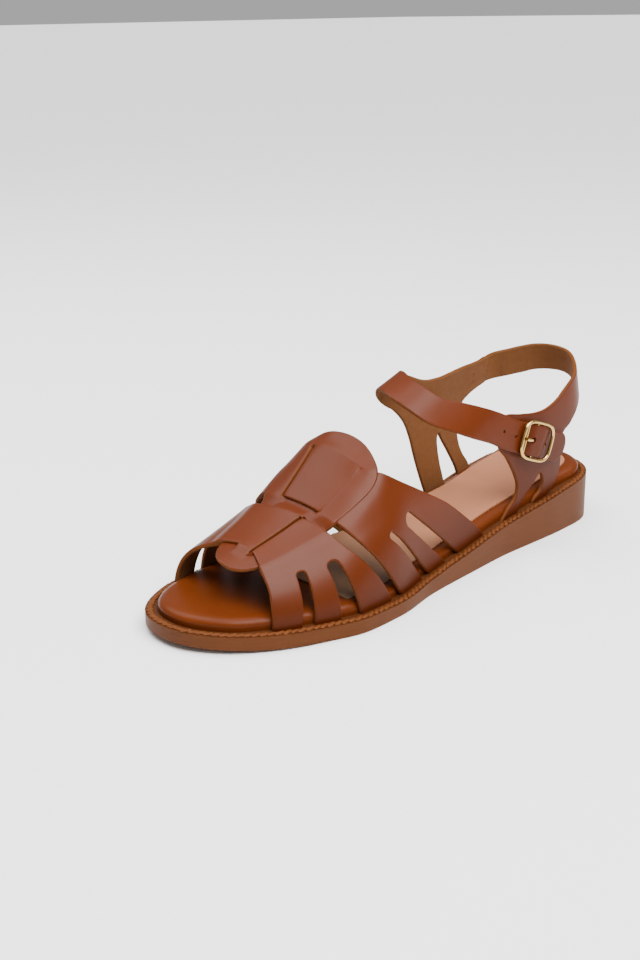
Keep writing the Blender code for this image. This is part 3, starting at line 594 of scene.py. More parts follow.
def pinkedSock():
    # A grid spread over the sock's plan, its rim cut in small teeth, then given a thickness
    rows, front = sockCut["rows"], station(sockCut["front"])
    outer, inner = planRing(bed["inset"] + sockCut["margin"], sockCut["ringRows"])
    keep = (outer[:, 1] < front) & (inner[:, 1] < front)
    outer, inner = outer[keep], inner[keep]
    pick = np.linspace(0, len(outer) - 1, rows)

    def picked(side):
        return np.stack([np.interp(pick, np.arange(len(side)), side[:, k]) for k in (0, 1)], 1)

    outer, inner = picked(outer), picked(inner)
    piece = planGrid("sockLining", sockCut["across"], rows)
    for v in piece.data.vertices:
        row = round((v.co.y + 1) / 2 * (rows - 1))
        k = (v.co.x + 1) / 2
        tooth = sockCut["tooth"] * (row % 2 - 0.5) if min(k, 1 - k) < 1e-6 else 0.0
        x, y = outer[row] + (inner[row] - outer[row]) * k
        v.co = (x + tooth * (1 if k > 0.5 else -1), y, bedTop(y) + sockCut["thickness"])
    activate(piece)
    thick = piece.modifiers.new("thickness", "SOLIDIFY")
    thick.thickness, thick.offset = sockCut["thickness"], -1
    bpy.ops.object.modifier_apply(modifier="thickness")
    bpy.ops.object.shade_smooth_by_angle(angle=40 * pi / 180)
    piece.data.materials.append(sockLook)
    seatOn(piece, "sock")


pinkedSock()
print("footbed and sock made")

# Last: a grid of points and outward normals over the foot, and one round the heel's wall

last = {
    "instep": 80 * mm, "feather": 6.6 * mm, "heelBulge": 3.0 * mm, "bulgeFull": 0.2, "bulgeEnds": 0.44,
    "bulgeHigh": 0.9, "cornerRounding": 0.15, "cornerRise": 1.6, "heelRadius": 25 * mm,
    # share of the length, height, ridge offset, fullness of the outer and inner side
    "rows": (
        (0.10, 1.300, 0.015, 3.0, 3.0), (0.24, 1.200, 0.015, 2.9, 3.0), (0.34, 1.090, 0.015, 2.7, 2.9),
        (0.42, 0.975, 0.015, 2.5, 2.8), (0.50, 0.895, 0.015, 2.4, 2.8), (0.59, 0.785, 0.020, 2.4, 2.8),
        (0.66, 0.610, 0.030, 2.35, 2.75), (0.73, 0.455, 0.036, 2.25, 2.6), (0.80, 0.365, 0.030, 2.1, 2.35),
        (0.86, 0.305, 0.020, 2.1, 2.25), (0.93, 0.240, 0.020, 2.1, 2.2),
    ),
}


def bulgeAt(y, rise):
    fade = np.clip((last["bulgeEnds"] - share(y)) / (last["bulgeEnds"] - last["bulgeFull"]), 0, 1)
    return last["heelBulge"] * fade * np.sin(pi * np.clip(rise / (last["bulgeHigh"] * last["instep"]), 0, 1))


def sectionAt(y, side, count=161):
    # Half a section from the ridge down: x, z and the length along it
    outer, inner = soleEdges(y)
    height, ridge, outerPower, innerPower = (float(through(last["rows"], k, share(y))) for k in (1, 2, 3, 4))
    height, ridge = height * last["instep"], ridge * sole["ball"]
    half = (inner - last["feather"] - ridge) if side > 0 else (ridge - outer - last["feather"])
    power = innerPower if side > 0 else outerPower
    turn = np.linspace(0, pi / 2, count)
    rise = height * np.abs(np.cos(turn)) ** (2 / power)
    wide = half * np.sin(turn) ** (2 / power) + bulgeAt(y, rise) * np.sin(turn)
    return ridge + side * wide, float(sideTop(y)) + rise, lengthsAlong(np.stack([wide, rise], 1))


stations = np.arange(-24, 213, 1.0) * mm
turns = np.linspace(-1, 1, 241)


def lastGrid():
    grid = np.zeros((len(stations), len(turns), 3))
    for i, y in enumerate(stations):
        grid[i, :, 1] = y
        for side in (-1, 1):
            mask = turns < 0 if side < 0 else turns >= 0
            x, z, length = sectionAt(y, side)
            along = np.abs(turns[mask]) * length[-1]
            grid[i, mask, 0], grid[i, mask, 2] = np.interp(along, length, x), np.interp(along, length, z)
    return grid


def normalGrid(grid, sign):
    normal = np.cross(np.gradient(grid, axis=0), np.gradient(grid, axis=1)) * sign
    return normal / np.linalg.norm(normal, axis=2)[:, :, None]


def sampled(grid, rows, columns, r, c):
    # Bilinear place on a grid over evenly spaced rows and columns
    r = np.clip((r - rows[0]) / (rows[1] - rows[0]), 0, len(rows) - 1.001)
    c = np.clip((c - columns[0]) / (columns[1] - columns[0]), 0, len(columns) - 1.001)
    i, j = r.astype(int), c.astype(int)
    r, c = (r - i)[:, None], (c - j)[:, None]
    return (grid[i, j] * (1 - r) * (1 - c) + grid[i + 1, j] * r * (1 - c)
            + grid[i, j + 1] * (1 - r) * c + grid[i + 1, j + 1] * r * c)


lastPoints = lastGrid()
lastNormals = normalGrid(lastPoints, -1)
wayRound = np.arange(-92, 58, 1.0) * mm
wallHeights = np.arange(6, 92, 1.0) * mm
heelTurn = last["heelRadius"] * pi / 2


def wallGrid():
    # Side of the last round the heel; the way round is negative on the outer side
    grid = np.zeros((len(wayRound), len(wallHeights), 3))
    height, _, _, power = (float(through(last["rows"], k, share(0.0))) for k in (1, 2, 3, 4))
    height, axis = height * last["instep"], last["rows"][0][2] * sole["ball"]
    for i, u in enumerate(wayRound):
        grid[i, :, 2] = wallHeights
        if abs(u) > heelTurn:
            x, z, _ = sectionAt(abs(u) - heelTurn, 1 if u > 0 else -1)
            grid[i, :, 1], grid[i, :, 0] = abs(u) - heelTurn, np.interp(-wallHeights, -z, x)
            continue
        angle = u / last["heelRadius"]
        dx, dy = sin(angle), -cos(angle)
        low, high = 0.0, 1.5 * sole["seat"]
        for _ in range(26):
            reach = (low + high) / 2
            x, y = axis + dx * reach, dy * reach
            outer, inner = soleEdges(y)
            held = -y < sole["seat"] - 0.01 * mm and outer < x < inner
            low, high = (reach, high) if held else (low, reach)
        rise = np.clip(wallHeights - float(sideTop(dy * low)), 0, height)
        corner = ease(last["cornerRise"] * rise / last["instep"]) * sin(2 * angle) ** 2
        corner = 1 - last["cornerRounding"] * corner
        radius = (low - last["feather"]) * corner * (1 - (rise / height) ** power) ** (1 / power) + bulgeAt(0.0, rise)
        grid[i, :, 0], grid[i, :, 1] = axis + dx * radius, dy * radius
    # The two ways of reaching the heel's sides meet smoothly
    soft = grid.copy()
    for i, u in enumerate(wayRound):
        near = 1 - ease((abs(abs(u) - heelTurn) - 2 * mm) / (6 * mm))
        if near > 0:
            window = grid[max(i - 4, 0):i + 5].mean(axis=0)
            soft[i, :, :2] = grid[i, :, :2] * (1 - near) + window[:, :2] * near
    return soft


wallPoints = wallGrid()
wallNormals = normalGrid(wallPoints, 1)


def onLast(turn, y, lift):
    point, away = (sampled(grid, stations, turns, y, turn) for grid in (lastPoints, lastNormals))
    return point + away * lift[:, None]


def onWall(u, z, lift):
    point, away = (sampled(grid, wayRound, wallHeights, u, z) for grid in (wallPoints, wallNormals))
    return point + away * lift[:, None]


print("last made")

# Patterns: leather is cut flat, then laid on the last

# round is the edge's rounding, raw how far its pale cut shows, edgeRows where points follow an edge,
# same the distance or height below which two points count as one
skin = {
    "leather": 1.8 * mm, "edgeRows": (0.12 * mm, 0.42 * mm, 0.85 * mm), "rowSpacing": 0.2 * mm, "raw": 0.30 * mm,
    "round": 0.42 * mm, "cell": 1.5 * mm, "step": 1.1 * mm, "same": 0.05 * mm, "sunk": 0.5 * mm,
    # a share of the girth just past the sole's edge, and one that counts as on it
    "beyond": 1.06, "atEdge": 0.9999,
}


def smoothPath(points, step):
    # Catmull-Rom path through a few points
    points = [np.array(p, float) for p in points]
    ends = [2 * points[0] - points[1]] + points + [2 * points[-1] - points[-2]]
    path = []
    for before, start, stop, after in zip(ends, ends[1:], ends[2:], ends[3:]):
        count = max(1, round(float(np.linalg.norm(stop - start)) / step))
        for k in range(count):
            s = k / count
            path.append(0.5 * (2 * start + (stop - before) * s + (2 * before - 5 * start + 4 * stop - after) * s ** 2
                               + (3 * start - before - 3 * stop + after) * s ** 3))
    return path + [points[-1]]


def closedLoop(*edges):
    loop = []
    for edge in edges:
        loop += [p for p in edge if not loop or np.hypot(*(p - loop[-1])) > skin["same"]]
    if np.hypot(*(loop[0] - loop[-1])) < skin["same"]:
        loop.pop()
    return np.array(loop)


def insideLoop(loop, p):
    hit = np.zeros(len(p), bool)
    for (a0, b0), (a1, b1) in zip(loop, np.roll(loop, -1, 0)):
        if b0 != b1:
            hit ^= ((b0 > p[:, 1]) != (b1 > p[:, 1])) & (p[:, 0] < a0 + (p[:, 1] - b0) * (a1 - a0) / (b1 - b0))
    return hit


def outsideBy(loop, p):
    return np.where(insideLoop(loop, p), 0.0, edgeDistance(sides(loop), p))


def thinned(points, spacing):
    # One point for each small cell, the same ones each run
    keep = np.unique(np.round(points / spacing).astype(int), axis=0, return_index=True)[1]
    return points[np.sort(keep)]


def rounded(distance):
    # Drop of a rounded edge at a distance from it
    near = np.clip(1 - distance / skin["round"], 0, 1)
    return skin["round"] * (1 - np.sqrt(1 - near ** 2))


def leatherSheet(name, loops, layerAt, topAt, cutAt, place, burnishShadeAt, under=None):
    # layerAt names the uppermost strip at flat points (0 outside), topAt its height there, under the
    # height of the lining, cutAt the distance to the strip's own cut edges, and the last function the darkened share:
    # burnish plus painted shade
    points, edges = [], []
    for loop in loops:
        start = len(points)
        points += [tuple(p) for p in loop]
        edges += [(start + k, start + (k + 1) % len(loop)) for k in range(len(loop))]
    rim, allSides = np.array(points), sides(*loops)
    rows = []
    for loop in loops:
        ahead = np.roll(loop, -1, 0) - np.roll(loop, 1, 0)
        ahead /= np.maximum(np.hypot(*ahead.T), 1e-9)[:, None]
        across = np.stack([-ahead[:, 1], ahead[:, 0]], 1)
        rows += [loop + sign * offset * across for offset in skin["edgeRows"] for sign in (-1, 1)]
    rows = thinned(np.concatenate(rows), skin["rowSpacing"])
    rows = rows[edgeDistance(allSides, rows) > 0.8 * skin["edgeRows"][0]]
    low, high = rim.min(0), rim.max(0)
    grid = np.stack(np.meshgrid(*(np.arange(a, b, skin["cell"]) for a, b in zip(low, high))), -1)
    grid[::2, :, 0] += skin["cell"] / 2
    grid = grid.reshape(-1, 2)
    grid = grid[edgeDistance(allSides, grid) > skin["edgeRows"][-1] + 0.35 * skin["cell"]]
    inner = np.concatenate([rows, grid])
    inner = inner[layerAt(inner) > 0]
    points += [tuple(p) for p in inner]
    flat, _, triangles, _, _, _ = delaunay_2d_cdt([Vector(p) for p in points], edges, [], 0, 1e-7)
    flat, triangles = np.array([tuple(v) for v in flat]), np.array(triangles)
    layers = layerAt(flat[triangles].mean(1))
    triangles, layers = triangles[layers > 0], layers[layers > 0]

    pairs = np.unique(np.stack([triangles.ravel(), np.repeat(layers, 3)], 1), axis=0)
    at = flat[pairs[:, 0]]
    cut = cutAt(at, pairs[:, 1])
    height = topAt(at, pairs[:, 1]) - rounded(cut)
    used = np.unique(pairs[:, 0])
    seams = {}
    for k, tri in enumerate(triangles):
        for v, w in zip(tri, np.roll(tri, -1)):
            seams.setdefault((min(v, w), max(v, w)), []).append((v, w, layers[k]))
    border = [(flat[key[0]], flat[key[1]]) for key, value in seams.items() if len(value) == 1]
    borderDistance = edgeDistance(border, flat[used])
    lower = rounded(borderDistance)
    if under:
        lower = lower + under(flat[used])

    where, lift, cuts, linings, rank, tops, beneath = [], [], [], [], {}, {}, {}

    def addPoint(v, z, distance, lining):
        where.append(flat[v])
        lift.append(z)
        cuts.append(1 - ease(distance / skin["raw"]))
        linings.append(lining)
        return len(where) - 1

    for v, z, distance in zip(used, lower, borderDistance):
        beneath[v] = addPoint(v, z, distance, 1.0)
    for k in np.lexsort((height, pairs[:, 0])):
        v, layer = pairs[k]
        stack = tops.setdefault(v, [])
        if not stack or height[k] - lift[stack[-1]] > skin["same"]:
            stack.append(addPoint(v, height[k], cut[k], 0.0))
        rank[v, layer] = len(stack) - 1

    def climb(v, start, stop):
        step = 1 if stop >= start else -1
        return [tops[v][k] for k in range(start, stop + step, step)]

    faces = []
    for tri, layer in zip(triangles, layers):
        faces.append([tops[v][rank[v, layer]] for v in tri])
        faces.append([beneath[v] for v in tri[::-1]])
    for owners in seams.values():
        v, w, layer = owners[0]
        if len(owners) == 1:
            faces.append([beneath[v], beneath[w]] + climb(w, 0, rank[w, layer]) + climb(v, rank[v, layer], 0))
        else:
            other = owners[1][2]
            wall = climb(v, rank[v, layer], rank[v, other]) + climb(w, rank[w, other], rank[w, layer])
            if len(set(wall)) > 2:
                faces.append(wall)
    where, lift = np.array(where), np.array(lift)
    data = bpy.data.meshes.new(name)
    data.from_pydata([tuple(p) for p in place(where, lift)], [], faces)
    for key, values in (("cut", cuts), ("lining", linings), ("burnishShade", burnishShadeAt(where))):
        data.attributes.new(key, "FLOAT", "POINT").data.foreach_set("value", np.array(values, np.float32))
    corner = np.zeros(len(data.loops), np.int32)
    data.loops.foreach_get("vertex_index", corner)
    data.uv_layers.new(name="flat").data.foreach_set("uv", where[corner].astype(np.float32).ravel())
    piece = bpy.data.objects.new(name, data)
    bpy.context.collection.objects.link(piece)
    activate(piece)
    bpy.ops.object.mode_set(mode="EDIT")
    bpy.ops.mesh.select_all(action="SELECT")
    bpy.ops.mesh.quads_convert_to_tris()
    bpy.ops.mesh.normals_make_consistent(inside=False)
    bpy.ops.object.mode_set(mode="OBJECT")
    bpy.ops.object.shade_smooth_by_angle(angle=48 * pi / 180)
    piece.data.materials.append(leather)
    return piece


# Share of darkening along a way, burnish plus painted shade: it starts at a place and grows over a run up to a most
def burnishShadeShare(way, burnishShade):
    start, run, most = burnishShade
    return ease((way - start) / run) * most


def seated(point, flatEdge):
    # Legs run down to the rim and a little into it
    floor = sideTop(point[:, 1])
    point[:, 2] = np.maximum(point[:, 2], floor)
    point[flatEdge, 2] -= skin["sunk"]
    return point


# Vamp: two bands woven through one long middle strip with a lip, a waist and a round tab

vamp = {
    "halfGirth": 65 * mm, "lift": 1.35 * mm, "run": 5 * mm, "bandRun": 10 * mm,
    "frontBandFront": (
        (-1.02, 0.872), (-0.80, 0.868), (-0.62, 0.861), (-0.44, 0.856), (-0.34, 0.850), (-0.20, 0.843),
        (-0.05, 0.845), (0.10, 0.852), (0.35, 0.868), (0.60, 0.876), (0.80, 0.881), (1.02, 0.886)),
    "frontBandBack": (
        (1.02, 0.664), (0.88, 0.684), (0.77, 0.704), (0.65, 0.722), (0.50, 0.738), (0.30, 0.747), (0.10, 0.750),
        (-0.10, 0.745), (-0.22, 0.741), (-0.41, 0.731), (-0.55, 0.720), (-0.65, 0.705), (-0.77, 0.685),
        (-0.88, 0.665), (-1.02, 0.643)),
    "backBandFront": (
        (-1.02, 0.617), (-0.89, 0.641), (-0.74, 0.668), (-0.60, 0.691), (-0.44, 0.708), (-0.29, 0.716),
        (-0.10, 0.720), (0.06, 0.721), (0.25, 0.721), (0.44, 0.714), (0.60, 0.700), (0.74, 0.682),
        (0.89, 0.657), (1.02, 0.634)),
    "backBandBack": (
        (1.02, 0.370), (0.86, 0.422), (0.71, 0.476), (0.58, 0.526), (0.44, 0.583), (0.32, 0.612), (0.12, 0.630),
        (-0.06, 0.631), (-0.26, 0.628), (-0.35, 0.608), (-0.44, 0.578), (-0.59, 0.515), (-0.71, 0.465),
        (-0.86, 0.410), (-1.02, 0.354)),
    "strip": (
        (-0.12, 0.892), (-0.25, 0.890), (-0.34, 0.878), (-0.39, 0.855), (-0.40, 0.820), (-0.40, 0.780),
        (-0.41, 0.735), (-0.41, 0.700), (-0.40, 0.665), (-0.38, 0.632), (-0.32, 0.610), (-0.20, 0.600),
        (-0.05, 0.598), (0.10, 0.602), (0.22, 0.612), (0.28, 0.632), (0.30, 0.665), (0.26, 0.705),
        (0.21, 0.745), (0.17, 0.790), (0.145, 0.838), (0.095, 0.868), (0.00, 0.886)),
    # girth and length share of the round end, length shares of both sides at the sole, half width
    "slots": (
        (-0.61, 0.803, 0.827, 0.805, 0.0080), (-0.64, 0.750, 0.758, 0.720, 0.0100),
        (-0.65, 0.630, 0.540, 0.519, 0.0050), (-0.635, 0.580, 0.466, 0.429, 0.0100),
        (0.60, 0.819, 0.842, 0.820, 0.0080), (0.61, 0.763, 0.776, 0.741, 0.0130),
        (0.64, 0.640, 0.556, 0.505, 0.0065), (0.60, 0.580, 0.466, 0.430, 0.0130)),
    # both ends of each slit, its width, and how it looks: 1 cut crisply, 0.5 only a faint groove, 0 pressed shut
    "slits": (
        (-0.22, 0.848, -0.22, 0.741, 1.3 * mm, 1.0), (-0.08, 0.850, 0.01, 0.750, 0.3 * mm, 0.0),
        (-0.29, 0.717, -0.26, 0.629, 0.3 * mm, 0.5), (0.06, 0.721, 0.12, 0.630, 1.3 * mm, 1.0)),
    "slitFloor": 0.3 * mm, "slitPale": 0.55, "creaseDepth": 0.09 * mm, "creaseReach": 0.6 * mm,
    "dimple": 0.30 * mm, "dimpleReach": 2.2 * mm, "slack": 1.2 * mm, "beside": 2.5 * mm,
    # feather is the span along the sole's edge, then where the leather darkens as burnish plus painted shade, over
    # which run and how much
    "tabFrom": 0.640, "feather": (0.34, 0.93), "slotReach": 1.04, "slotRows": 12, "burnishShade": (0.45, 0.6, 0.7),
}
frontBand, backBand, strip, slit = 1, 2, 3, 4


def vampFlat(rows):
    return [(t * vamp["halfGirth"], station(at)) for t, at in rows]


def bandLoop(front, back):
    return closedLoop(smoothPath(vampFlat(vamp[front]), skin["step"]), smoothPath(vampFlat(vamp[back]), skin["step"]))


def straight(start, stop):
    start, stop = np.array(start), np.array(stop)
    count = max(1, round(float(np.hypot(*(stop - start))) / skin["step"]))
    return [start + (stop - start) * k / count for k in range(count + 1)]


def featherLoop(girth, start, stop):
    # A narrow loop along the sole's edge puts points on it
    wide = girth * skin["beyond"]
    return closedLoop(straight((girth, start), (girth, stop)), straight((wide, stop), (wide, start)))


def slotLoop(row):
    girth, at, frontAt, backAt, halfWidth = row
    side = np.sign(girth)
    reach, rows = side * vamp["slotReach"], vamp["slotRows"]
    top, front, back = vampFlat([(girth, at), (reach, frontAt), (reach, backAt)])
    radius = halfWidth * sole["length"]
    lean = atan2((front[1] + back[1]) / 2 - top[1], abs(front[0]) - abs(top[0]))
    arc = []
    for k in range(rows + 1):
        turn = pi / 2 + pi * k / rows
        along, across = cos(turn) * radius, sin(turn) * radius
        arc.append(np.array((top[0] + side * (along * cos(lean) - across * sin(lean)),
                             top[1] + along * sin(lean) + across * cos(lean))))
    return closedLoop(straight(front, arc[0]), arc, straight(arc[-1], back), straight(back, front))


def slitLoop(row):
    start, stop = (np.array(p) for p in vampFlat([row[:2], row[2:4]]))
    ahead = (stop - start) / np.hypot(*(stop - start))
    side = np.array((-ahead[1], ahead[0])) * row[4] / 2
    return closedLoop(straight(start + side, stop + side), straight(stop - side, start - side))


bands = {frontBand: bandLoop("frontBandFront", "frontBandBack"), backBand: bandLoop("backBandFront", "backBandBack")}
stripLoop = closedLoop(smoothPath(vampFlat(vamp["strip"] + vamp["strip"][:1]), skin["step"]))
slotLoops = [slotLoop(row) for row in vamp["slots"]]
openSlits = [row for row in vamp["slits"] if row[5]]
slitLoops = [slitLoop(row) for row in openSlits]
crispSlits = [loop for loop, row in zip(slitLoops, openSlits) if row[5] == 1]
vampFeather = [featherLoop(side * vamp["halfGirth"], *map(station, vamp["feather"])) for side in (-1, 1)]


def slitPlaces(p, front):
    rows = vamp["slits"][:2] if front else vamp["slits"][2:]
    places = []
    for row in rows:
        (a0, b0), (a1, b1) = vampFlat([row[:2], row[2:4]])
        places.append(a0 + (a1 - a0) * np.clip((p[:, 1] - b0) / (b1 - b0), 0, 1))
    return places


def betweenSlits(p, front, slack=0.0):
    outer, inner = slitPlaces(p, front)
    return (outer - slack < p[:, 0]) & (p[:, 0] < inner + slack)


def inTab(p):
    return p[:, 1] < station(vamp["tabFrom"])


def vampLayer(p):
    gone = np.abs(p[:, 0]) > vamp["halfGirth"]
    for loop in slotLoops:
        gone |= insideLoop(loop, p)
    onStrip, onFront, onBack = (insideLoop(loop, p) for loop in (stripLoop, bands[frontBand], bands[backBand]))
    layer = np.where(onStrip, strip, 0)
    layer = np.where(onFront & ~(onStrip & betweenSlits(p, True)), frontBand, layer)
    layer = np.where(onBack & (~onStrip | betweenSlits(p, False)), backBand, layer)
    for loop in crispSlits:
        layer = np.where(insideLoop(loop, p) & (layer > 0), slit, layer)
    return np.where(gone, 0, layer)


def vampTop(p, layer):
    full, lift, run = skin["leather"], vamp["lift"], vamp["run"]
    overFront = betweenSlits(p, True, vamp["slack"]) * (1 - ease(outsideBy(bands[frontBand], p) / run))
    outer, inner = slitPlaces(p, False)
    beside = ease((np.maximum(outer - p[:, 0], p[:, 0] - inner) + vamp["beside"]) / vamp["beside"])
    # behind the parallelogram the tab lies as high as the band that passes over it
    beside = np.maximum(beside, inTab(p))
    overBack = beside * (1 - ease(outsideBy(bands[backBand], p) / run))
    onStrip = full + lift * np.maximum(overFront, overBack)
    onBand = full + lift * (1 - ease(outsideBy(stripLoop, p) / vamp["bandRun"]))
    height = np.where(layer == strip, onStrip, onBand)
    for loop, row in zip(slitLoops, openSlits):
        if row[5] < 1:
            near = edgeDistance(sides(loop), p)
            height = height - np.clip(1 - near / vamp["creaseReach"], 0, 1) ** 2 * vamp["creaseDepth"]
        ends = np.minimum(np.hypot(*(p - loop[0]).T), np.hypot(*(p - loop[len(loop) // 2]).T))
        height = height - vamp["dimple"] * np.exp(-(ends / vamp["dimpleReach"]) ** 2)
    return np.where(layer == slit, vamp["slitFloor"], height)


def vampCut(p, layer):
    far = np.full(len(p), 1.0)
    ownSlots = edgeDistance(sides(*slotLoops), p)
    distances = {
        frontBand: np.minimum(edgeDistance(sides(bands[frontBand]), p), ownSlots),
        backBand: np.minimum(edgeDistance(sides(bands[backBand]), p), ownSlots),
        strip: edgeDistance(sides(stripLoop), p),
        slit: far,
    }
    crisp = edgeDistance(sides(*crispSlits), p) * vamp["slitPale"]
    distance = np.select([layer == k for k in distances], list(distances.values()), far)
    # where the band passes over the tab its rear edge shows no pale cut
    rear = (layer == backBand) & inTab(p) & betweenSlits(p, False)
    distance = np.where(rear, np.maximum(distance, skin["raw"]), distance)
    return np.where(layer == slit, far, np.minimum(distance, crisp))


def vampPlace(p, lift):
    turn = np.clip(p[:, 0] / vamp["halfGirth"], -1, 1)
    return seated(onLast(turn, p[:, 1], lift), np.abs(turn) > skin["atEdge"])


# Darker towards the sole's edge: burnish plus painted shade
def vampBurnishShade(p):
    return burnishShadeShare(np.abs(p[:, 0]) / vamp["halfGirth"], vamp["burnishShade"])


vampPiece = leatherSheet("wovenVamp", [*bands.values(), stripLoop, *slotLoops, *slitLoops, *vampFeather],
                         vampLayer, vampTop, vampCut, vampPlace, vampBurnishShade)
seatOn(vampPiece, "vamp")
print("vamp made")

# Inner quarter with the instep strap, in one piece of leather

ankle = {
    "girth": 110 * mm, "strapWidth": 13.4 * mm, "gap": 0.3 * mm,
    "strapPath": (
        (0.20, 0.438), (0.06, 0.462), (-0.06, 0.476), (-0.16, 0.472), (-0.26, 0.452), (-0.35, 0.414),
        (-0.44, 0.374), (-0.53, 0.329), (-0.61, 0.288), (-0.69, 0.231), (-0.755, 0.184), (-0.80, 0.144)),
    "top": (
        (0.62, 0.122), (0.506, 0.124), (0.494, 0.150), (0.481, 0.180), (0.448, 0.232), (0.402, 0.288),
        (0.34, 0.336), (0.22, 0.386), (0.12, 0.424), (0.05, 0.442)),
    "front": (
        (0.03, 0.490), (0.10, 0.4835), (0.17, 0.4735), (0.23, 0.461), (0.30, 0.440), (0.38, 0.411), (0.50, 0.380),
        (0.62, 0.360), (0.76, 0.344), (0.94, 0.322), (1.02, 0.310)),
    "back": (
        (1.02, 0.170), (0.95, 0.178), (0.88, 0.196), (0.80, 0.207), (0.72, 0.208), (0.66, 0.198),
        (0.63, 0.170), (0.62, 0.122)),
    "opening": (
        (1.04, 0.210), (0.95, 0.216), (0.85, 0.238), (0.75, 0.264), (0.70, 0.277), (0.74, 0.281),
        (0.85, 0.274), (0.95, 0.264), (1.04, 0.256)),
    "hole": 0.8 * mm, "holes": (0.666, 0.730, 0.880), "prongHole": 1.5 * mm, "prongHoleAt": 0.807,
    "overQuarter": (-0.24, -0.47), "buckleAt": 0.828, "barLift": 1.9 * mm, "barFlat": 3.0 * mm,
    "barReach": 10.5 * mm, "feather": (0.15, 0.33), "strapStep": 0.8 * mm, "strapRows": 120, "tipRows": 20,
    "holeRows": 18, "burnishShade": (0.35, 0.6, 0.75),
}


def ankleFlat(rows):
    return [(t * ankle["girth"], station(at)) for t, at in rows]


quarterLoop = closedLoop(*(smoothPath(ankleFlat(ankle[key]), skin["step"]) for key in ("top", "front", "back")))
openingLoop = closedLoop(smoothPath(ankleFlat(ankle["opening"]), skin["step"]))
strapLine = np.array(smoothPath(ankleFlat(ankle["strapPath"]), ankle["strapStep"]))
strapWays = lengthsAlong(strapLine)


def strapAt(way):
    # Flat point and heading at a share of the way along the strap
    along = way * strapWays[-1]

    def at(length):
        return np.array([np.interp(length, strapWays, strapLine[:, k]) for k in (0, 1)])

    heading = at(along + mm) - at(along - mm)
    return at(along), heading / np.hypot(*heading)


def strapOutline():
    half, tipRows = ankle["strapWidth"] / 2, ankle["tipRows"]
    left, right, tip = [], [], []
    for way in np.linspace(0, 1 - half / strapWays[-1], ankle["strapRows"]):
        at, (da, db) = strapAt(way)
        left.append(at + half * np.array((-db, da)))
        right.append(at - half * np.array((-db, da)))
    for k in range(1, tipRows):
        turn = pi / 2 - pi * k / tipRows
        tip.append(at + half * (cos(turn) * np.array((da, db)) + sin(turn) * np.array((-db, da))))
    return closedLoop(left, tip, right[::-1])


def roundHole(way, radius):
    at, _ = strapAt(way)
    turns = [2 * pi * k / ankle["holeRows"] for k in range(ankle["holeRows"])]
    return np.array([at + radius * np.array((cos(turn), sin(turn))) for turn in turns])


strapLoop = strapOutline()
holeLoops = [roundHole(way, ankle["hole"]) for way in ankle["holes"]]
holeLoops.append(roundHole(ankle["prongHoleAt"], ankle["prongHole"]))
ankleFeather = featherLoop(ankle["girth"], *map(station, ankle["feather"]))


def ankleLayer(p):
    held = insideLoop(quarterLoop, p) | insideLoop(strapLoop, p)
    for loop in (openingLoop, *holeLoops):
        held &= ~insideLoop(loop, p)
    return np.where(held & (p[:, 0] <= ankle["girth"]), 1, 0)


def strapLift(p):
    start, stop = (t * ankle["girth"] for t in ankle["overQuarter"])
    lift = (skin["leather"] + ankle["gap"]) * ease((start - p[:, 0]) / (start - stop))
    at, heading = strapAt(ankle["buckleAt"])
    along = np.abs((p - at) @ heading)
    over = ankle["barLift"] * (1 - ease((along - ankle["barFlat"]) / (ankle["barReach"] - ankle["barFlat"])))
    return np.where(p[:, 0] < 0, lift + np.where(p[:, 0] < stop, over, 0), 0)


def ankleTop(p, layer):
    return strapLift(p) + skin["leather"]


def ankleCut(p, layer):
    # The two outlines are one piece: only an edge outside the other one is cut
    quarter, strapEdge = edgeDistance(sides(quarterLoop), p), edgeDistance(sides(strapLoop), p)
    quarter = np.where(insideLoop(quarterLoop, p), quarter, 0)
    strapEdge = np.where(insideLoop(strapLoop, p), strapEdge, 0)
    return np.minimum(np.maximum(quarter, strapEdge), edgeDistance(sides(openingLoop), p))


def anklePlace(p, lift):
    turn = np.clip(p[:, 0] / ankle["girth"], -1, 1)
    return seated(onLast(turn, p[:, 1], lift), turn > skin["atEdge"])


# Darker towards the sole and along the strap to the buckle: burnish plus painted shade
def ankleBurnishShade(p):
    return burnishShadeShare(np.abs(p[:, 0]) / ankle["girth"], ankle["burnishShade"])


anklePiece = leatherSheet("ankleStrap", [quarterLoop, openingLoop, strapLoop, *holeLoops, ankleFeather],
                          ankleLayer, ankleTop, ankleCut, anklePlace, ankleBurnishShade, strapLift)
seatOn(anklePiece, "instep_strap")
print("ankle strap made")

# Heel strap with the outer quarter: its pattern lies round the heel, way round and height

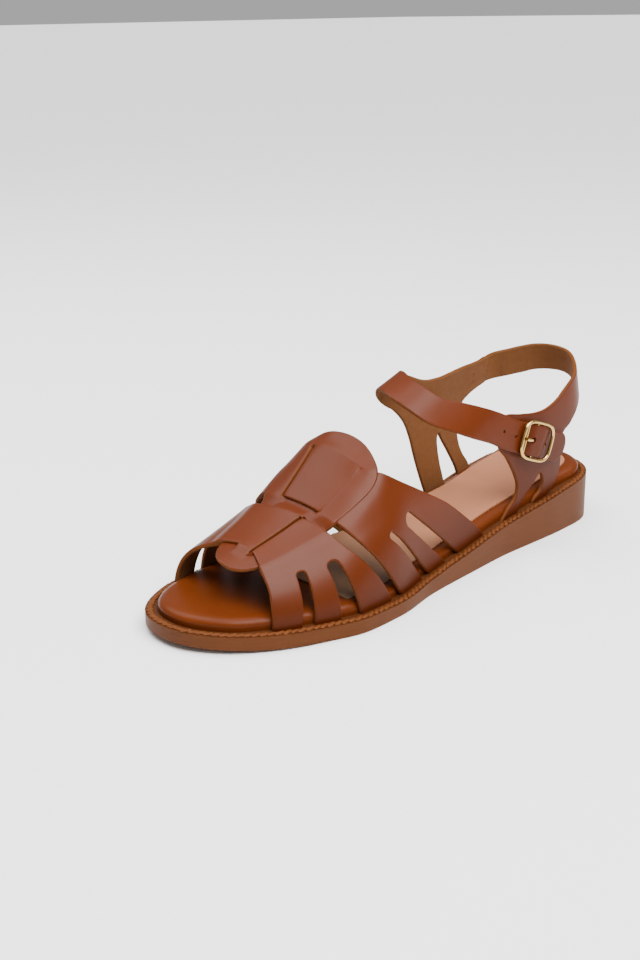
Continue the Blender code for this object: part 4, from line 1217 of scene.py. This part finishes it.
heel = {
    "top": (
        (0.216, 0.895), (0.168, 0.925), (0.128, 0.965), (0.080, 0.998), (0.040, 1.018), (-0.008, 1.018),
        (-0.056, 1.000), (-0.104, 0.960), (-0.144, 0.912), (-0.168, 0.875), (-0.192, 0.832), (-0.224, 0.800),
        (-0.256, 0.792), (-0.296, 0.806), (-0.328, 0.822), (-0.350, 0.806), (-0.360, 0.750)),
    "front": (
        (-0.360, 0.750), (-0.358, 0.650), (-0.336, 0.562), (-0.314, 0.450), (-0.304, 0.375), (-0.308, 0.300),
        (-0.326, 0.245), (-0.350, 0.150)),
    "back": (
        (-0.216, 0.150), (-0.206, 0.250), (-0.192, 0.275), (-0.178, 0.350), (-0.176, 0.425), (-0.178, 0.600),
        (-0.152, 0.662), (-0.112, 0.762), (-0.060, 0.838), (-0.016, 0.862), (0.040, 0.850), (0.072, 0.825),
        (0.112, 0.800), (0.176, 0.762), (0.216, 0.735)),
    "opening": (
        (-0.256, 0.120), (-0.250, 0.235), (-0.232, 0.290), (-0.228, 0.345), (-0.238, 0.412), (-0.246, 0.400),
        (-0.262, 0.345), (-0.280, 0.300), (-0.294, 0.230), (-0.302, 0.120)),
    "seam": (0.100, 0.150), "ground": (-0.37, -0.19, 45), "groundDepth": 6 * mm, "nearGround": 0.02 * mm,
    "burnishShade": (-0.95, 0.6, 0.4), "burnishShadeLeast": 0.2,
}


def roundFlat(rows):
    return [(way * sole["length"], height * last["instep"]) for way, height in rows]


heelLoop = closedLoop(*(smoothPath(roundFlat(heel[key]), skin["step"]) for key in ("top", "front", "back")))
heelOpening = closedLoop(smoothPath(roundFlat(heel["opening"]), skin["step"]))


def featherHeight(u):
    return sideTop(np.abs(u) - heelTurn)


groundRun = [np.array((u, float(featherHeight(u)))) for u in np.linspace(*heel["ground"]) * sole["length"]]
groundLoop = closedLoop(groundRun, [p - np.array((0, heel["groundDepth"])) for p in groundRun[::-1]])


def heelLayer(p):
    held = insideLoop(heelLoop, p) & ~insideLoop(heelOpening, p)
    return np.where(held & ~((p[:, 0] < -heelTurn) & (p[:, 1] < featherHeight(p[:, 0]))), 1, 0)


def heelLift(p):
    start, stop = heel["seam"]
    return (skin["leather"] + ankle["gap"]) * ease((p[:, 0] / sole["length"] - start) / (stop - start))


def heelTop(p, layer):
    return heelLift(p) + skin["leather"]


def heelCut(p, layer):
    return edgeDistance(sides(heelLoop, heelOpening), p)


def heelPlace(p, lift):
    low = (p[:, 0] < -heelTurn) & (p[:, 1] < featherHeight(p[:, 0]) + heel["nearGround"])
    return seated(onWall(p[:, 0], p[:, 1], lift), low)


# Darker low on the heel and a little everywhere: burnish plus painted shade
def heelBurnishShade(p):
    return burnishShadeShare(-p[:, 1] / last["instep"], heel["burnishShade"]) + heel["burnishShadeLeast"]


heelPiece = leatherSheet("heelStrap", [heelLoop, heelOpening, groundLoop],
                         heelLayer, heelTop, heelCut, heelPlace, heelBurnishShade, heelLift)
seatOn(heelPiece, "heel_strap")
print("heel strap made")

# Seam stitches where the heel strap is sewn on the inner quarter

seam = {
    "ways": (0.116, 0.158, 0.200), "low": 0.80, "high": 0.89, "pitch": 2.5 * mm, "long": 1.7 * mm,
    "thick": 0.38 * mm, "proud": 0.05 * mm,
}


def seamStitches():
    frames = []
    low, high = seam["low"] * last["instep"], seam["high"] * last["instep"]
    count = int((high - low) / seam["pitch"])
    for way in seam["ways"]:
        for k in range(count):
            z = low + (k + 0.5) * (high - low) / count
            p = np.array([(way * sole["length"], z)])
            for lift in (float(heelTop(p, None)[0]) + seam["proud"], -seam["proud"]):
                at, above, inside = (onWall(p[:, 0], p[:, 1] + up, np.array([lift - less]))[0]
                                     for up, less in ((0, 0), (mm, 0), (0, mm)))
                frames.append(turned(at, above - at, at - inside))
    stitch = capsule("seamStitch", seam["long"], seam["thick"], seam["thick"], 6, 5)
    seatOn(copiesOf(stitch, "seamStitches", frames, thread), None)


seamStitches()
print("seam stitches made")

# Buckle: a bowed frame, its front bar and the prong, on axes worked out from the strap

buckle = {
    "halfLength": 10.9 * mm, "width": 19.3 * mm, "bar": 0.85 * mm, "square": 3.6, "clear": 0.2 * mm,
    "frontBarAt": 8.1 * mm, "frontBar": 0.6 * mm, "frontReach": 0.96, "frontSunk": 0.1 * mm,
    "rearBar": 0.8 * mm, "sideGap": 1.8 * mm, "knee": 0.6, "prong": 0.9 * mm, "smooth": 60 * pi / 180,
    # along and height as shares of the half length and the frame's top, thickness share
    "prongRows": ((0.20, 0.30, 0.75), (0.34, 0.66, 0.95), (0.56, 0.98, 1.0), (0.74, 1.02, 1.0), (0.86, 0.98, 0.9)),
}


def buckleAxes():
    def strapPoint(way, lift):
        p, _ = strapAt(way)
        return Vector(onLast(np.array([p[0] / ankle["girth"]]), np.array([p[1]]), np.array([lift]))[0])

    centre = strapPoint(ankle["buckleAt"], skin["leather"])
    outward = (strapPoint(ankle["buckleAt"], skin["leather"] + mm) - centre).normalized()
    ahead = strapPoint(ankle["buckleAt"] - 0.02, skin["leather"]) - centre
    ahead = (ahead - outward * ahead.dot(outward)).normalized()
    return Matrix.Translation(centre) @ Matrix((ahead, outward.cross(ahead), outward)).transposed().to_4x4()


buckleTurn = buckleAxes()
frameLift = 2 * ankle["gap"] + skin["leather"] + buckle["bar"] + buckle["clear"]


def settle(piece):
    # The piece's place goes into its mesh
    piece.data.transform(buckleTurn)
    activate(piece)
    bpy.ops.object.shade_smooth_by_angle(angle=buckle["smooth"])
    piece.data.materials.append(gold)
    return piece


def buckleFrame():
    thin, near = 0.1, 0.02
    bpy.ops.object.select_all(action="DESELECT")
    bpy.ops.mesh.primitive_torus_add(major_segments=96, minor_segments=18, major_radius=1, minor_radius=thin)
    piece = named("buckleFrame")
    halves = buckle["halfLength"] - buckle["bar"], buckle["width"] / 2 - buckle["bar"]
    power = 2 / buckle["square"]

    def path(turn):
        pairs = zip(halves, (cos(turn), sin(turn)))
        return Vector([half * abs(c) ** power * (1 if c > 0 else -1) for half, c in pairs] + [0])

    for v in piece.data.vertices:
        turn = atan2(v.co.y, v.co.x)
        out, up = (np.hypot(v.co.x, v.co.y) - 1) / thin, v.co.z / thin
        ahead = (path(turn + near) - path(turn - near)).normalized()
        side = Vector((ahead.y, -ahead.x, 0))
        v.co = path(turn) + side * out * buckle["bar"] + Vector((0, 0, frameLift + up * buckle["bar"]))
    return settle(piece)


def roundBar(name, points, radii):
    # A cylinder cut into rings that follow a path in the buckle's axes
    bpy.ops.object.select_all(action="DESELECT")
    bpy.ops.mesh.primitive_cylinder_add(vertices=14, radius=1, depth=2, end_fill_type="TRIFAN")
    piece = named(name)
    bpy.ops.object.mode_set(mode="EDIT")
    count = len(points)
    for k in range(1, count - 1):
        bpy.ops.mesh.select_all(action="SELECT")
        bpy.ops.mesh.bisect(plane_co=(0, 0, 2 * k / (count - 1) - 1), plane_no=(0, 0, 1))
    mesh = bmesh.from_edit_mesh(piece.data)
    for v in mesh.verts:
        k = round((v.co.z + 1) / 2 * (count - 1))
        before, after = points[max(k - 1, 0)], points[min(k + 1, count - 1)]
        run = (after - before).normalized()
        side = Vector((0, 0, 1)).cross(run)
        side = side.normalized() if side.length > 0.1 else Vector((0, 1, 0))
        rise = run.cross(side)
        v.co = points[k] + (side * v.co.x + rise * v.co.y) * radii[k]
    bmesh.update_edit_mesh(piece.data)
    bpy.ops.mesh.select_all(action="SELECT")
    bpy.ops.mesh.normals_make_consistent(inside=False)
    bpy.ops.object.mode_set(mode="OBJECT")
    return settle(piece)


def barsAndProng():
    half, low = buckle["width"] / 2 - buckle["bar"], ankle["gap"] + buckle["rearBar"]
    inner = ankle["strapWidth"] / 2 + buckle["sideGap"]
    knee = ((half + inner) / 2, buckle["knee"] * frameLift + (1 - buckle["knee"]) * low)
    halfPath = [(half, frameLift), knee, (inner, low)]
    path = [Vector((0, y, z)) for y, z in [(-y, z) for y, z in halfPath] + [(0, low)] + halfPath[::-1]]
    bar = roundBar("buckleBar", path, [buckle["rearBar"]] * len(path))
    reach, high = half * buckle["frontReach"], frameLift - buckle["frontSunk"]
    path = [Vector((buckle["frontBarAt"], reach * k / 4, high)) for k in range(-4, 5)]
    front = roundBar("buckleFrontBar", path, [buckle["frontBar"]] * len(path))
    top = frameLift + buckle["bar"] + buckle["prong"]
    path = [Vector((x * buckle["halfLength"], 0, z * top)) for x, z, _ in buckle["prongRows"]]
    return bar, front, roundBar("buckleProng", path, [thick * buckle["prong"] for _, _, thick in buckle["prongRows"]])


frameRing = buckleFrame()
bar, frontBar, prong = barsAndProng()
activate(frameRing)
bar.select_set(True)
frontBar.select_set(True)
bpy.ops.object.join()
seatOn(frameRing, "buckle")
seatOn(prong, "buckle_prong")
print("buckle made")
